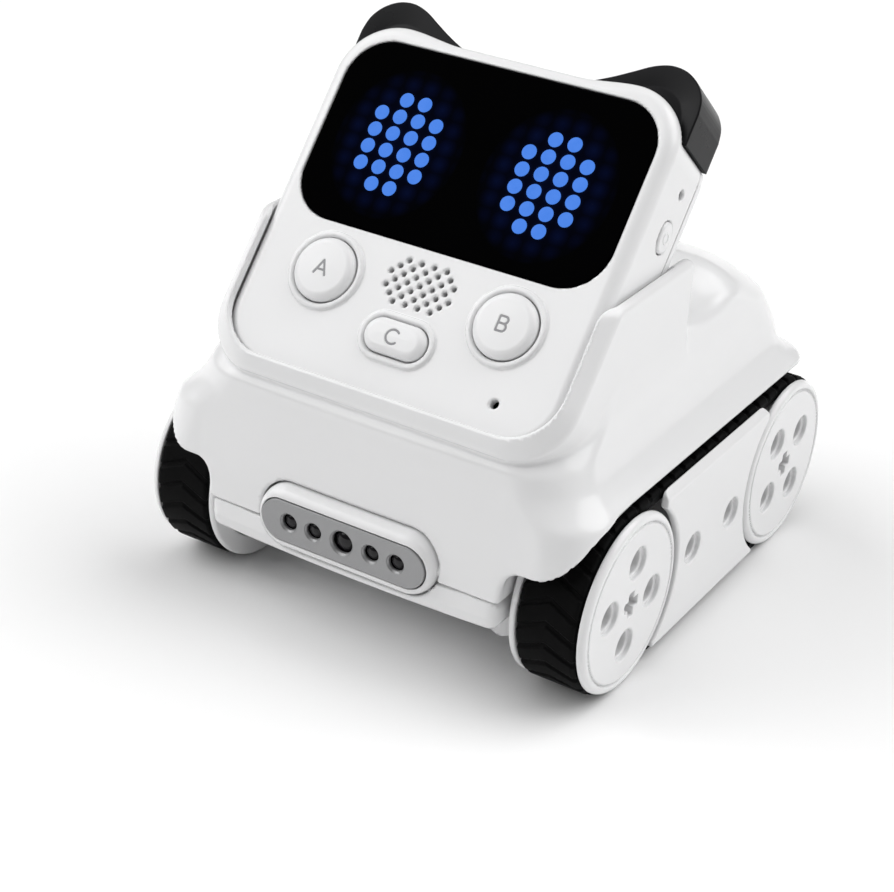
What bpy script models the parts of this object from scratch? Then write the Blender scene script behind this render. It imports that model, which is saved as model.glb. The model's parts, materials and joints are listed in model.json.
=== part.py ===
"""Educational coding robot: a tilted controller head that lifts out of a small tracked base.

Axes: +Z up, the robot faces -Y, +X is on the right when the robot is seen from the front.
Origin: on the ground, under the middle of the whole robot. Dimensions below are in millimetres, with y
counted from midway between the axles, which is MIDDLE_Y behind the origin.
"""

from math import atan2, cos, hypot, pi, radians, sin, sqrt, tan

import bmesh
import bpy
from mathutils import Matrix, Vector

MM = 0.001
GAP = 0.3                     # clearance between neighbouring pieces
WALL = 2.0                    # moulded wall thickness
MIDDLE_Y = 2.15               # the nose reaches further forward than the wheels reach back

# Running gear, on the 8 mm grid that building-brick pegs use
GRID = 8.0
WHEELBASE = 8 * GRID
TRACK_R = 17.5                # outside of the belt, so also the axle height
TRACK_T = 2.0
WHEEL_R = 17.0
HUB_X = 46.9                  # outer face of a wheel
RIM_OUT_X = 45.4
RIM_IN_X = 33.3
WHEEL_IN_X = 32.0
BELT_OUT_X = 45.1
BELT_IN_X = 33.6
PEG_R = 2.4
PEG_SINK_R = 3.1
PEG_SINK_DEPTH = 0.9
AXLE_R = 1.9

# Head, in its own frame: x across, y up the face, z out of the face
TILT = radians(40.0)          # the face leans back from the vertical by this much
FACE_Y = -16.8
FACE_Z = 83.2
HEAD_HW = 35.0
HEAD_TOP = 21.8
HEAD_CROWN = 22.6             # where the top edge rises under each ear
HEAD_BOTTOM = -46.5
HEAD_DEPTH = 18.0
HEAD_SPLIT = -15.2
HEAD_ROUND = 2.5
LOW_CORNER_R = 11.0
TOP_CORNER_R = 11.3
WINDOW_HW = 31.9
WINDOW_HH = 17.6
WINDOW_R = 8.5
WINDOW_V = 0.85
EAR_FRONT = -3.6
EAR_BACK = -17.6
EAR_FOOT = 14.4
BUTTON_U = 18.8
BUTTON_V = -25.9
BUTTON_R = 6.0
BUTTON_RISE = 2.0
BUTTON_TRAVEL = 1.0
BEZEL = 1.1
C_V = -33.9
C_HW = 6.2
C_HH = 3.2
GRILLE_V = -23.6
GRILLE_STEP = 1.3
GRILLE_R = 0.48
MIC_U = 22.2
MIC_V = -39.1
POWER_V = -0.3
POWER_Z = -10.3
DIAL_R = 7.6
DIAL_U = -28.2
DIAL_V = 5.0
DIAL_Z = -10.9
SCREW_U = 30.9
SCREW_VS = (-34.0, -17.2)

# Base
SEAM_Z = 21.5                 # the shell above meets the tray below
FLOOR_Z = 7.0
TRAY_HW = 31.0
COLLAR_HW = 37.4
COLLAR_BOTTOM = -48.6
COLLAR_R = 13.6
COLLAR_PROUD = 1.3
COLLAR_TOP_Z = 68.0
CHEEK_BACK_Y = 1.5
FENDER_Z = 36.4

# Sensor pod: a capsule with a flat face, turning about its own long axis
POD_Y = -50.5
POD_Z = 23.3
POD_R = 6.2
POD_HL = 18.9
POD_FACE = 3.3
POD_PLATE_HL = 17.4
POD_PLATE_HH = 4.1
LENS_STEP = 5.9
ARCH = ((-51.6, 26.9), (-49.9, 28.4), (-47.4, 30.8), (-44.3, 33.6), (-41.3, 35.2), (-36.5, 36.1))

# Drive train
MODULE = 0.68
BIG_TEETH = 20
SMALL_TEETH = 10
PRESSURE = radians(25)
ADDENDUM = 0.8
DEDENDUM = 1.1
BACKLASH = 0.12
GEAR_STEP = MODULE * (BIG_TEETH + SMALL_TEETH) / 2
AXLE_Y = WHEELBASE / 2
IDLER_Y = AXLE_Y - GEAR_STEP
MOTOR_Y = IDLER_Y - GEAR_STEP
MOTOR_R = 7.2

WHITE = (0.9, 0.9, 0.9)
BLACK = (0.02, 0.02, 0.022)
GREY = (0.45, 0.45, 0.46)
GREEN = (0.02, 0.18, 0.08)
METAL = (0.6, 0.6, 0.62)


# ---------------------------------------------------------------- scene set-up

def clear_scene():
    for old in list(bpy.data.objects):
        bpy.data.objects.remove(old, do_unlink=True)


def collection(name):
    made = bpy.data.collections.new(name)
    bpy.context.scene.collection.children.link(made)
    return made


def material(name, colour, roughness, metallic=0.0):
    made = bpy.data.materials.new(name)
    made.use_nodes = True
    shader = made.node_tree.nodes["Principled BSDF"]
    shader.inputs["Base Color"].default_value = (*colour, 1.0)
    shader.inputs["Roughness"].default_value = roughness
    shader.inputs["Metallic"].default_value = metallic
    return made


clear_scene()
ROBOT = collection("coding_robot")
CUTTERS = collection("cutters")
GLOSS_WHITE = material("gloss_white", WHITE, 0.25)
GLOSS_BLACK = material("gloss_black", BLACK, 0.1)
SOFT_BLACK = material("rubber_black", BLACK, 0.7)
SATIN_GREY = material("satin_grey", GREY, 0.4)
BOARD_GREEN = material("board_green", GREEN, 0.5)
BRIGHT_METAL = material("bright_metal", METAL, 0.3, 1.0)
NATURAL = material("natural_nylon", (0.8, 0.78, 0.7), 0.5)


def frame(name, place, turn=(0.0, 0.0, 0.0)):
    """An empty that pieces are parented to. place is in millimetres."""
    made = bpy.data.objects.new(name, None)
    made.location = (Vector(place) + Vector((0, MIDDLE_Y, 0))) * MM
    made.rotation_euler = turn
    ROBOT.objects.link(made)
    return made


FACE = frame("face_frame", (0, FACE_Y, FACE_Z), (pi / 2 - TILT, 0, 0))
FRONT = frame("front_frame", (0, 0, 0), (pi / 2, 0, 0))
RIGHT = frame("right_frame", (0, 0, 0), (pi / 2, 0, pi / 2))
LEFT = frame("left_frame", (0, 0, 0), (pi / 2, 0, -pi / 2))
GROUND = frame("ground_frame", (0, 0, 0))


def add(name, bm, home, finish=None, place=(0, 0, 0), turn=(0, 0, 0)):
    """Turns a bmesh, in millimetres, into an object under the frame home. No finish means it is a cutter."""
    bmesh.ops.scale(bm, vec=(MM, MM, MM), verts=bm.verts)
    bmesh.ops.recalc_face_normals(bm, faces=bm.faces)
    mesh = bpy.data.meshes.new(name)
    bm.to_mesh(mesh)
    bm.free()
    made = bpy.data.objects.new(name, mesh)
    made.parent = home
    made.location = Vector(place) * MM
    made.rotation_euler = turn
    if finish is None:
        made.hide_render = True
        made.display_type = "WIRE"
        CUTTERS.objects.link(made)
    else:
        mesh.materials.append(finish)
        mesh.shade_smooth()
        mesh.set_sharp_from_angle(angle=radians(35))
        ROBOT.objects.link(made)
    return made


# ---------------------------------------------------------------- shape makers

def arc(centre, radius, start, end, steps):
    """Points on an arc, angles in degrees, both ends included."""
    points = []
    for i in range(steps + 1):
        angle = radians(start + (end - start) * i / steps)
        points.append((centre[0] + radius * cos(angle), centre[1] + radius * sin(angle)))
    return points


def rounded_rect(half_w, half_h, radius, steps=5):
    x = half_w - radius
    y = half_h - radius
    points = []
    for centre, start in (((x, -y), -90), ((x, y), 0), ((-x, y), 90), ((-x, -y), 180)):
        points += arc(centre, radius, start, start + 90, steps)
    return without_repeats(points)


def without_repeats(points):
    kept = []
    for point in points:
        if not kept or hypot(point[0] - kept[-1][0], point[1] - kept[-1][1]) > 1e-4:
            kept.append(point)
    if hypot(kept[0][0] - kept[-1][0], kept[0][1] - kept[-1][1]) < 1e-4:
        kept.pop()
    return kept


def cross(reach, half):
    """A plus sign: arms out to reach, each arm 2 x half wide."""
    corner = [(half, reach), (half, half), (reach, half)]
    points = []
    for i in range(4):
        turn = -i * pi / 2
        points += [(x * cos(turn) - y * sin(turn), x * sin(turn) + y * cos(turn)) for x, y in corner]
    return points


def prism_into(bm, outline, low, high):
    """Extrudes a flat outline in x, y from z = low to z = high."""
    ring = [bm.verts.new((x, y, low)) for x, y in outline]
    face = bm.faces.new(ring)
    made = bmesh.ops.extrude_face_region(bm, geom=[face])["geom"]
    moved = [v for v in made if isinstance(v, bmesh.types.BMVert)]
    bmesh.ops.translate(bm, vec=(0, 0, high - low), verts=moved)


def prism(outline, low, high):
    bm = bmesh.new()
    prism_into(bm, outline, low, high)
    return bm


def cylinder_into(bm, radius, low, high, centre=(0, 0), sides=20):
    place = Matrix.Translation((centre[0], centre[1], (low + high) / 2))
    bmesh.ops.create_cone(bm, cap_ends=True, segments=sides, radius1=radius, radius2=radius,
                          depth=high - low, matrix=place)


def cylinders(radius, low, high, centres=((0, 0),), sides=20):
    bm = bmesh.new()
    for centre in centres:
        cylinder_into(bm, radius, low, high, centre, sides)
    return bm


def box_into(bm, low, high):
    low, high = Vector(low), Vector(high)
    size = Matrix.Diagonal((*(high - low), 1.0))
    bmesh.ops.create_cube(bm, size=1.0, matrix=Matrix.Translation((low + high) / 2) @ size)


def boxes(*pairs):
    bm = bmesh.new()
    for low, high in pairs:
        box_into(bm, low, high)
    return bm


def loft(rings):
    """A closed skin over rings of equal point count, capped at both ends."""
    bm = bmesh.new()
    rows = [[bm.verts.new(point) for point in ring] for ring in rings]
    count = len(rows[0])
    for low, high in zip(rows, rows[1:]):
        for i in range(count):
            j = (i + 1) % count
            bm.faces.new((low[i], low[j], high[j], high[i]))
    bm.faces.new(reversed(rows[0]))
    bm.faces.new(rows[-1])
    return bm


def turned(name, profile, home, finish, steps=32, place=(0, 0, 0), turn=(0, 0, 0)):
    """A turned piece about its own z axis. profile is (radius, z), outer side from top to bottom."""
    bm = bmesh.new()
    points = [bm.verts.new((r, 0, z)) for r, z in profile]
    for a, b in zip(points, points[1:]):
        bm.edges.new((a, b))
    made = add(name, bm, home, finish, place, turn)
    screw = made.modifiers.new("turn", "SCREW")
    screw.axis = "Z"
    screw.steps = steps
    screw.render_steps = steps
    screw.use_merge_vertices = True
    screw.merge_threshold = 0.00001
    screw.use_smooth_shade = True
    return made


def boolean(target, other, operation):
    made = target.modifiers.new(f"{operation.lower()}_{other.name}", "BOOLEAN")
    made.operation = operation
    made.solver = "EXACT"
    made.object = other


def cut(target, *others):
    for other in others:
        boolean(target, other, "DIFFERENCE")


def join(target, *others):
    for other in others:
        boolean(target, other, "UNION")


def bevel(target, width, segments=2, angle=50):
    made = target.modifiers.new("bevel", "BEVEL")
    made.width = width * MM
    made.segments = segments
    made.limit_method = "ANGLE"
    made.angle_limit = radians(angle)
    return made


# ---------------------------------------------------------------- head shapes

def head_outline(inset, top=None, steps=5):
    """The head seen square on to its face. With top, the sides run straight up to that height."""
    side = HEAD_HW - inset
    half = arc((HEAD_HW - LOW_CORNER_R, HEAD_BOTTOM + LOW_CORNER_R), LOW_CORNER_R - inset, -90, 0, steps)
    if top is not None:
        half.append((side, top))
    else:
        crown_u = HEAD_HW - TOP_CORNER_R
        half += arc((crown_u, HEAD_CROWN - TOP_CORNER_R), TOP_CORNER_R - inset, 0, 90, steps)
        dip_u = 12.0
        for i in range(1, 5):
            share = i / 4
            rise = (1 + cos(pi * share)) / 2
            half.append((crown_u + (dip_u - crown_u) * share,
                         HEAD_TOP - inset + (HEAD_CROWN - HEAD_TOP) * rise))
    return without_repeats(half + [(-u, v) for u, v in reversed(half)])


def slab_rings(outline_at, front, back, front_round, back_round, steps=3):
    """Rings from back to front; outline_at(inset) gives the outline, rounded over at both faces."""
    rings = []
    if back_round:
        for i in range(steps + 1):
            angle = pi / 2 * i / steps
            rings.append((back_round * (1 - sin(angle)), back + back_round * (1 - cos(angle))))
    else:
        rings.append((0.0, back))
    if front_round:
        for i in range(steps + 1):
            angle = pi / 2 * i / steps
            rings.append((front_round * (1 - cos(angle)), front - front_round * (1 - sin(angle))))
    else:
        rings.append((0.0, front))
    return [[(u, v, z) for u, v in outline_at(inset)] for inset, z in rings]


def pocket_block(grow, name):
    """The head's own shape grown a little, run up the face and forward: what the collar leaves free."""
    def outline(inset):
        return head_outline(inset - grow, top=70.0)
    bm = loft(slab_rings(outline, grow, -HEAD_DEPTH - grow, HEAD_ROUND, 1.5))
    made = add(name, bm, FACE)
    mouth = add(name + "_mouth", prism(head_outline(HEAD_ROUND - grow, top=69.0), -HEAD_ROUND, 25.0), FACE)
    join(made, mouth)
    return made


def ear_outline(grow, side):
    """One ear: a rounded peak outside, seated on the head's rounded corner inside."""
    seat = 9.0 - grow
    foot = EAR_FOOT - grow
    seat_u = HEAD_HW - TOP_CORNER_R
    seat_v = HEAD_CROWN - TOP_CORNER_R
    points = [(12.0 - grow, 20.4 - grow), (12.4 - grow, 22.2 + grow), (16.8, 24.6 + grow), (20.2, 26.6 + grow)]
    for i in range(6):
        angle = radians(115 - 23 * i)
        points.append((26.6 + (8.4 + grow) * cos(angle), 20.8 + (7.2 + grow) * sin(angle)))
    points.append((HEAD_HW + grow, foot))
    points.append((seat_u + sqrt(seat * seat - (foot - seat_v) ** 2), foot))
    points += arc((seat_u, seat_v), seat, 33, 90, 4)
    return [(side * u, v) for u, v in (points if side > 0 else reversed(points))]


def make_ear(side, name):
    ear = add(name, prism(ear_outline(0.0, side), EAR_BACK, EAR_FRONT), FACE, SOFT_BLACK)
    bevel(ear, 0.5, 2, 40)
    return ear


def grille_points():
    """Seven staggered rows of speaker holes."""
    points = []
    for row, count in zip(range(3, -4, -1), (4, 5, 6, 5, 6, 5, 4)):
        for i in range(count):
            points.append(((i - (count - 1) / 2) * 2 * GRILLE_STEP, GRILLE_V + row * GRILLE_STEP))
    return points


def screw_places():
    return [(side * SCREW_U, v) for side in (1, -1) for v in SCREW_VS]


def make_head_shells():
    front = add("head_front_shell",
                loft(slab_rings(head_outline, 0.0, HEAD_SPLIT, HEAD_ROUND, 0.0)), FACE, GLOSS_WHITE)
    rear = add("head_rear_shell",
               loft(slab_rings(head_outline, HEAD_SPLIT - 0.2, -HEAD_DEPTH, 0.0, 1.5)), FACE, GLOSS_WHITE)

    ear_room = [add(f"ear_room_{i}", prism(ear_outline(GAP, side), EAR_BACK - 2, EAR_FRONT + GAP), FACE)
                for i, side in enumerate((1, -1))]
    hollow = add("front_hollow", prism(head_outline(WALL + 2.4), -HEAD_DEPTH, -WALL), FACE)
    side_hollow = add("side_hollow", boxes(((-HEAD_HW + WALL, -32, -HEAD_DEPTH),
                                            (HEAD_HW - WALL, 9.8, -WALL))), FACE)
    posts = add("screw_posts", cylinders(2.2, HEAD_SPLIT, -1.0, screw_places(), 10), FACE)
    post_holes = add("post_holes", cylinders(1.2, -20.0, -6.0, screw_places(), 8), FACE)
    window_hole = add("window_hole",
                      prism([(u, v + WINDOW_V) for u, v in
                             rounded_rect(WINDOW_HW + GAP / 2, WINDOW_HH + GAP / 2, WINDOW_R)], -3, 3), FACE)

    rings = bmesh.new()
    holes = bmesh.new()
    for u in (-BUTTON_U, BUTTON_U):
        cylinder_into(rings, BUTTON_R + GAP + BEZEL, -1.0, 0.6, (u, BUTTON_V), 24)
        cylinder_into(holes, BUTTON_R + GAP, -5.0, 5.0, (u, BUTTON_V), 24)
    for bm, grow, low, high in ((rings, GAP + BEZEL, -1.0, 0.6), (holes, GAP, -5.0, 5.0)):
        prism_into(bm, [(u, v + C_V) for u, v in rounded_rect(C_HW + grow, C_HH + grow, C_HH + grow, 4)],
                   low, high)
    bezels = add("button_bezels", rings, FACE)
    button_holes = add("button_holes", holes, FACE)
    small = cylinders(GRILLE_R, -5.0, 5.0, grille_points(), 6)
    cylinder_into(small, 0.85, -5.0, 5.0, (MIC_U, MIC_V), 8)
    small_holes = add("grille_holes", small, FACE)

    side_cuts = boxes(((6.0 - 4.1, 14.0, DIAL_Z - 1.7), (6.0 + 4.1, 25.0, DIAL_Z + 1.7)),
                      ((-6.0 - 3.6, 14.0, DIAL_Z - 1.7), (-6.0 + 3.6, 25.0, DIAL_Z + 1.7)),
                      ((-9.4, -50.0, -11.9), (9.4, -39.5, -6.1)))
    wall_slots = add("wall_slots", side_cuts, FACE)
    dial_room = add("dial_room", cylinders(DIAL_R + 0.4, -1.5, 1.5, sides=20), FACE, None,
                    (DIAL_U, DIAL_V, DIAL_Z))
    power_hole = add("power_hole", prism(rounded_rect(3.6 + GAP, 2.2 + GAP, 2.2 + GAP, 4), -6, 6), FACE,
                     place=(HEAD_HW, POWER_V, POWER_Z), turn=(pi / 2, 0, pi / 2))
    side_mic = add("side_mic", cylinders(0.7, -4, 4, sides=8), FACE,
                   place=(HEAD_HW, 7.6, POWER_Z), turn=(0, pi / 2, 0))

    cut(front, *ear_room, hollow, side_hollow)
    join(front, posts, bezels)
    cut(front, post_holes, window_hole, button_holes, small_holes, wall_slots, dial_room,
        power_hole, side_mic)

    back_hollow = add("back_hollow", prism(head_outline(WALL + 2.4), -HEAD_DEPTH + WALL, HEAD_SPLIT + 2), FACE)
    back_side = add("back_side_hollow", boxes(((-HEAD_HW + WALL, -32, -HEAD_DEPTH + WALL),
                                               (HEAD_HW - WALL, 9.8, HEAD_SPLIT + 2))), FACE)
    pads = add("screw_pads", cylinders(2.9, -HEAD_DEPTH + 1, HEAD_SPLIT - 0.2, screw_places(), 10), FACE)
    sinks = add("screw_sinks", cylinders(2.5, -HEAD_DEPTH - 2, -HEAD_DEPTH + 1.5, screw_places(), 10), FACE)
    shanks = add("shank_holes", cylinders(1.4, -HEAD_DEPTH - 2, HEAD_SPLIT + 2, screw_places(), 8), FACE)
    cut(rear, *ear_room, back_hollow, back_side)
    join(rear, pads)
    cut(rear, sinks, shanks)


def make_screw(name, home, place, turn, length):
    """A small pan-head screw, its head at the bottom of its own z axis."""
    bm = cylinders(2.1, 0.0, 1.2, sides=10)
    screw = add(name, bm, home, BRIGHT_METAL, place, turn)
    shank = add(name + "_shank", cylinders(1.0, 0.6, length, sides=8), home, None, place, turn)
    slot = add(name + "_slot", prism(cross(1.3, 0.3), -1.0, 0.5), home, None, place, turn)
    join(screw, shank)
    cut(screw, slot)


def make_button(name, outline, flange, place):
    """A key cap with a flange behind the wall and a stem over its switch."""
    cap = add(name, prism(outline, -2.9, BUTTON_RISE), FACE, GLOSS_WHITE, place)
    bevel(cap, 0.9, 2, 60)
    plate = add(name + "_flange", prism(flange, -3.3, -2.4), FACE, None, place)
    stem = add(name + "_stem", cylinders(1.5, -4.4, -2.6, sides=10), FACE, None, place)
    join(cap, plate, stem)


def make_head_details():
    add("display_window", prism([(u, v + WINDOW_V) for u, v in rounded_rect(WINDOW_HW, WINDOW_HH, WINDOW_R, 6)],
                                -1.7, -0.1), FACE, GLOSS_BLACK)

    matrix = add("led_matrix_board", prism([(-30, -14.6), (30, -14.6), (30, 12), (27.5, 15.5), (-27.5, 15.5),
                                            (-30, 12)], -5.4, -4.2), FACE, BOARD_GREEN)
    lamps = add("led_block", boxes(((-29.7, -13.2, -4.6), (29.7, 13.2, -2.4))), FACE)
    join(matrix, lamps)

    add("control_board", prism([(-21, -39.2), (21, -39.2), (28, -32), (28, 10), (14, 13.5), (-14, 13.5),
                                (-28, 10), (-28, -32)], -9.2, -8.0), FACE, BOARD_GREEN)
    add("speaker", prism([(u, v + GRILLE_V) for u, v in rounded_rect(9.0, 5.1, 5.1, 5)], -6.0, -2.3),
        FACE, SOFT_BLACK)
    battery = add("battery", boxes(((-17.0, -34.0, -15.5), (17.0, 8.0, -9.6))), FACE, SATIN_GREY)
    bevel(battery, 1.2, 2)

    for name, u in (("button_a", -BUTTON_U), ("button_b", BUTTON_U)):
        make_button(name, rounded_rect(BUTTON_R, BUTTON_R, BUTTON_R, 6),
                    rounded_rect(BUTTON_R + 0.9, BUTTON_R + 0.9, BUTTON_R + 0.9, 4), (u, BUTTON_V, 0))
    make_button("button_c", rounded_rect(C_HW, C_HH, C_HH, 5),
                rounded_rect(C_HW + 0.6, C_HH + 0.5, C_HH + 0.5, 4), (0, C_V, 0))
    for name, u, v in (("switch_a", -BUTTON_U, BUTTON_V), ("switch_b", BUTTON_U, BUTTON_V),
                       ("switch_c", 0, C_V)):
        body = add(name, boxes(((-3.0, -3.0, -7.8), (3.0, 3.0, -6.2))), FACE, SOFT_BLACK, (u, v, 0))
        plunger = add(name + "_plunger", cylinders(1.7, -6.6, -5.5, sides=10), FACE, None, (u, v, 0))
        join(body, plunger)

    side_turn = (pi / 2, 0, pi / 2)
    power = add("power_button", prism(rounded_rect(3.6, 2.2, 2.2, 5), -2.6, 0.4), FACE, GLOSS_WHITE,
                (HEAD_HW, POWER_V, POWER_Z), side_turn)
    bevel(power, 0.3, 1, 60)
    power_flange = add("power_flange", prism(rounded_rect(4.3, 2.5, 1.5, 3), -3.2, -2.3), FACE, None,
                       (HEAD_HW, POWER_V, POWER_Z), side_turn)
    join(power, power_flange)
    add("switch_power", boxes(((27.4, POWER_V - 3.0, -12.4), (31.1, POWER_V + 3.0, -9.4))), FACE, SOFT_BLACK)

    dial_teeth = 24
    rim = []
    for i in range(dial_teeth * 2):
        angle = 2 * pi * i / (dial_teeth * 2)
        radius = DIAL_R if i % 2 else DIAL_R - 0.5
        rim.append((radius * cos(angle), radius * sin(angle)))
    dial = add("side_dial", prism(rim, -1.2, 1.2), FACE, GLOSS_WHITE, (DIAL_U, DIAL_V, DIAL_Z))
    cut(dial, add("dial_bore", cylinders(1.5, -3, 3, sides=12), FACE, None, (DIAL_U, DIAL_V, DIAL_Z)))
    pot = add("dial_potentiometer", boxes(((-4.2, -4.2, -3.1), (4.2, 4.2, -1.6))), FACE, SOFT_BLACK,
              (DIAL_U, DIAL_V, DIAL_Z))
    join(pot, add("pot_shaft", cylinders(1.2, -2.4, 1.1, sides=12), FACE, None, (DIAL_U, DIAL_V, DIAL_Z)))

    usb = add("usb_port", boxes(((2.2, 16.6, -12.3), (9.8, 21.3, -9.5))), FACE, BRIGHT_METAL)
    cut(usb, add("usb_mouth", boxes(((2.7, 18.0, -11.8), (9.3, 25.0, -10.0))), FACE))
    add("infrared_window", boxes(((-9.3, 19.2, -12.3), (-2.7, 21.7, -9.5))), FACE, GLOSS_BLACK)
    plug = add("dock_plug", boxes(((-9.0, -46.3, -11.6), (9.0, -42.0, -6.4))), FACE, SOFT_BLACK)
    cut(plug, add("plug_mouth", boxes(((-7.5, -48.0, -10.3), (7.5, -42.9, -7.7))), FACE))

    make_ear(1, "ear_right")
    make_ear(-1, "ear_left")
    for i, (u, v) in enumerate(screw_places()):
        make_screw(f"head_screw_{i + 1}", FACE, (u, v, -HEAD_DEPTH + 0.1), (0, 0, 0), 9.0)


# ---------------------------------------------------------------- base shapes

def face_y(z, depth=0.0):
    """Where the plane of the face, pushed back by depth, is at height z."""
    return FACE_Y + (z - FACE_Z) * tan(TILT) + depth / cos(TILT)


# Hull levels: height, half width, front y, rear y, front corner radius, rear corner radius
HULL = (
    (19.0, 45.8, -52.6, 47.2, 9.0, 6.0),
    (28.0, 45.8, -51.7, 47.6, 9.0, 6.0),
    (33.0, 45.7, -50.4, 47.9, 9.5, 6.0),
    (36.0, 45.3, -49.5, 47.9, 10.0, 6.5),
    (38.0, 43.5, -48.9, 47.2, 10.5, 8.0),
    (41.0, 41.4, -48.3, 46.8, 11.0, 9.0),
    (45.0, 39.5, -47.9, 46.0, 11.5, 11.0),
    (50.0, 38.0, face_y(50.0, 3.0), 43.4, 12.0, 14.0),
    (55.0, 37.0, face_y(55.0, 3.0), 38.6, 12.0, 17.0),
    (60.0, 36.5, face_y(60.0, 3.0), 29.5, 12.0, 19.0),
    (64.0, 36.2, face_y(64.0, 3.0), 18.5, 12.0, 19.0),
    (66.5, 36.0, face_y(66.5, 3.0), 8.5, 12.0, 17.0),
    (COLLAR_TOP_Z - 0.3, 35.6, face_y(COLLAR_TOP_Z, 3.0), 1.0, 12.0, 12.0),
)


def hull_ring(level, inset):
    z, half, front, rear, front_r, rear_r = level
    half -= inset
    front += inset
    rear -= inset
    front_r = max(front_r - inset, 1.0)
    rear_r = max(rear_r - inset, 1.0)
    right = arc((half - front_r, front + front_r), front_r, -90, 0, 4)
    right += arc((half - rear_r, rear - rear_r), rear_r, 0, 90, 4)
    ring = right + [(-x, y) for x, y in reversed(right)]
    return [(x, y, z) for x, y in ring]


def well_outline(grow):
    """Side view of the room over both wheels, in y and z. Its front rises from the notch to the fender."""
    points = [(-70.0, -5.0), (-70.0, ARCH[0][1] + grow)]
    points += [(y - grow * 0.5, z + grow) for y, z in ARCH]
    return points + [(-31.0, FENDER_Z + grow), (70.0, FENDER_Z + grow), (70.0, -5.0)]


def well_cutter(grow, name):
    bm = bmesh.new()
    inner = TRAY_HW + GAP - grow
    prism_into(bm, well_outline(grow), inner, 60.0)
    made = add(name + "_right", bm, RIGHT)
    mirror = bmesh.new()
    prism_into(mirror, [(-y, z) for y, z in well_outline(grow)], inner, 60.0)
    return made, add(name + "_left", mirror, LEFT)


def capsule(name, radius, half_length):
    """A round bar with domed ends along x, centred on the pod's axis."""
    profile = [(hx[1], hx[0]) for hx in arc((half_length - radius, 0), radius, 0, 90, 5)]
    profile = [(r, z) for r, z in profile]
    profile += [(r, -z) for r, z in reversed(profile)]
    profile[0] = (0.0, profile[0][1])
    profile[-1] = (0.0, profile[-1][1])
    return turned(name, profile, GROUND, None, 20, (0, POD_Y, POD_Z), (0, pi / 2, 0))


def make_body_shell():
    shell = add("body_shell", loft([hull_ring(level, 0.0) for level in HULL]), GROUND, GLOSS_WHITE)

    def collar_outline(inset):
        half = arc((COLLAR_HW - COLLAR_R, COLLAR_BOTTOM + COLLAR_R), COLLAR_R - inset, -90, 0, 5)
        half.append((COLLAR_HW - inset, 12.0))
        return half + [(-u, v) for u, v in reversed(half)]

    collar = add("collar", loft(slab_rings(collar_outline, COLLAR_PROUD, -30.0, 1.6, 0.0)), FACE)
    kept = add("collar_extent", boxes(((-60, -70, 45.5), (60, CHEEK_BACK_Y, COLLAR_TOP_Z))), GROUND)
    boolean(collar, kept, "INTERSECT")

    posts = add("shell_posts", cylinders(3.0, SEAM_Z + GAP, 60.0, base_screws(), 10), GROUND)
    boolean(posts, add("hull_inside", loft([hull_ring(level, 0.5) for level in HULL]), GROUND), "INTERSECT")
    core = add("cavity", loft([hull_ring(level, WALL) for level in HULL[:-1]]), GROUND)
    keep = add("pod_block", boxes(((-23.5, -60, 10), (23.5, -43.5, 30.8))), GROUND)
    cut(core, *well_cutter(WALL, "arch"), keep, pocket_block(WALL, "pocket_wall"))

    underside = boxes(((-70, -70, 0), (70, 70, SEAM_Z)))
    join(shell, collar)
    cut(shell, core)
    join(shell, posts)
    cut(shell, *well_cutter(0.0, "well"), add("underside", underside, GROUND),
        pocket_block(0.4, "pocket"), capsule("pod_room", POD_R + GAP, POD_HL + GAP),
        add("pod_pin_holes", cylinders(1.4, -22.0, 22.0, sides=10), GROUND, None, (0, POD_Y, POD_Z),
            (0, pi / 2, 0)),
        add("post_bores", cylinders(1.2, SEAM_Z - 2, 30.0, base_screws(), 8), GROUND),
        add("tongue_slot", boxes(((-7.6, -52, -10.4), (7.6, -46, -7.6))), FACE))


def base_screws():
    return [(26.0, -38.0), (-26.0, -38.0), (8.0, 34.0), (-8.0, 34.0)]


def make_tray():
    top = SEAM_Z - GAP
    side = [(-52.6, top), (-52.8, 16.4), (-51.9, 15.2), (-43.5, 15.2), (-37.0, FLOOR_Z + 1.0),
            (-35.5, FLOOR_Z), (41.5, FLOOR_Z), (45.6, 11.0), (47.0, top)]
    tray = add("chassis_tray", prism(side, -TRAY_HW, TRAY_HW), RIGHT, GLOSS_WHITE)
    inside = [(-42.5, top + 5), (-42.5, 17.0), (-36.0, FLOOR_Z + 2.4), (-34.6, FLOOR_Z + 1.6),
              (40.6, FLOOR_Z + 1.6), (43.5, 12.0), (45.0, top + 5)]
    hollow = add("tray_hollow", prism(inside, -TRAY_HW + WALL, TRAY_HW - WALL), RIGHT)
    bosses = add("tray_bosses", cylinders(3.2, FLOOR_Z + 0.8, top, base_screws(), 10), GROUND)
    sinks = add("tray_sinks", cylinders(2.5, 0.0, FLOOR_Z + 2.0, base_screws(), 10), GROUND)
    bores = add("tray_bores", cylinders(1.4, 0.0, top + 3, base_screws(), 8), GROUND)
    sight = add("ground_sight", boxes(((-16.0, -51.6, 10), (16.0, -46.5, 24))), GROUND)
    axles = add("axle_holes", cylinders(AXLE_R + GAP, -60, 60, ((-AXLE_Y, TRACK_R), (AXLE_Y, TRACK_R)), 14), RIGHT)
    cut(tray, hollow)
    join(tray, bosses)
    cut(tray, sinks, bores, axles, sight, capsule("pod_bed", POD_R + GAP, POD_HL + GAP))
    for i, (x, y) in enumerate(base_screws()):
        make_screw(f"base_screw_{i + 1}", GROUND, (x, y, FLOOR_Z + 0.5), (0, 0, 0), 20.0)


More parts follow.
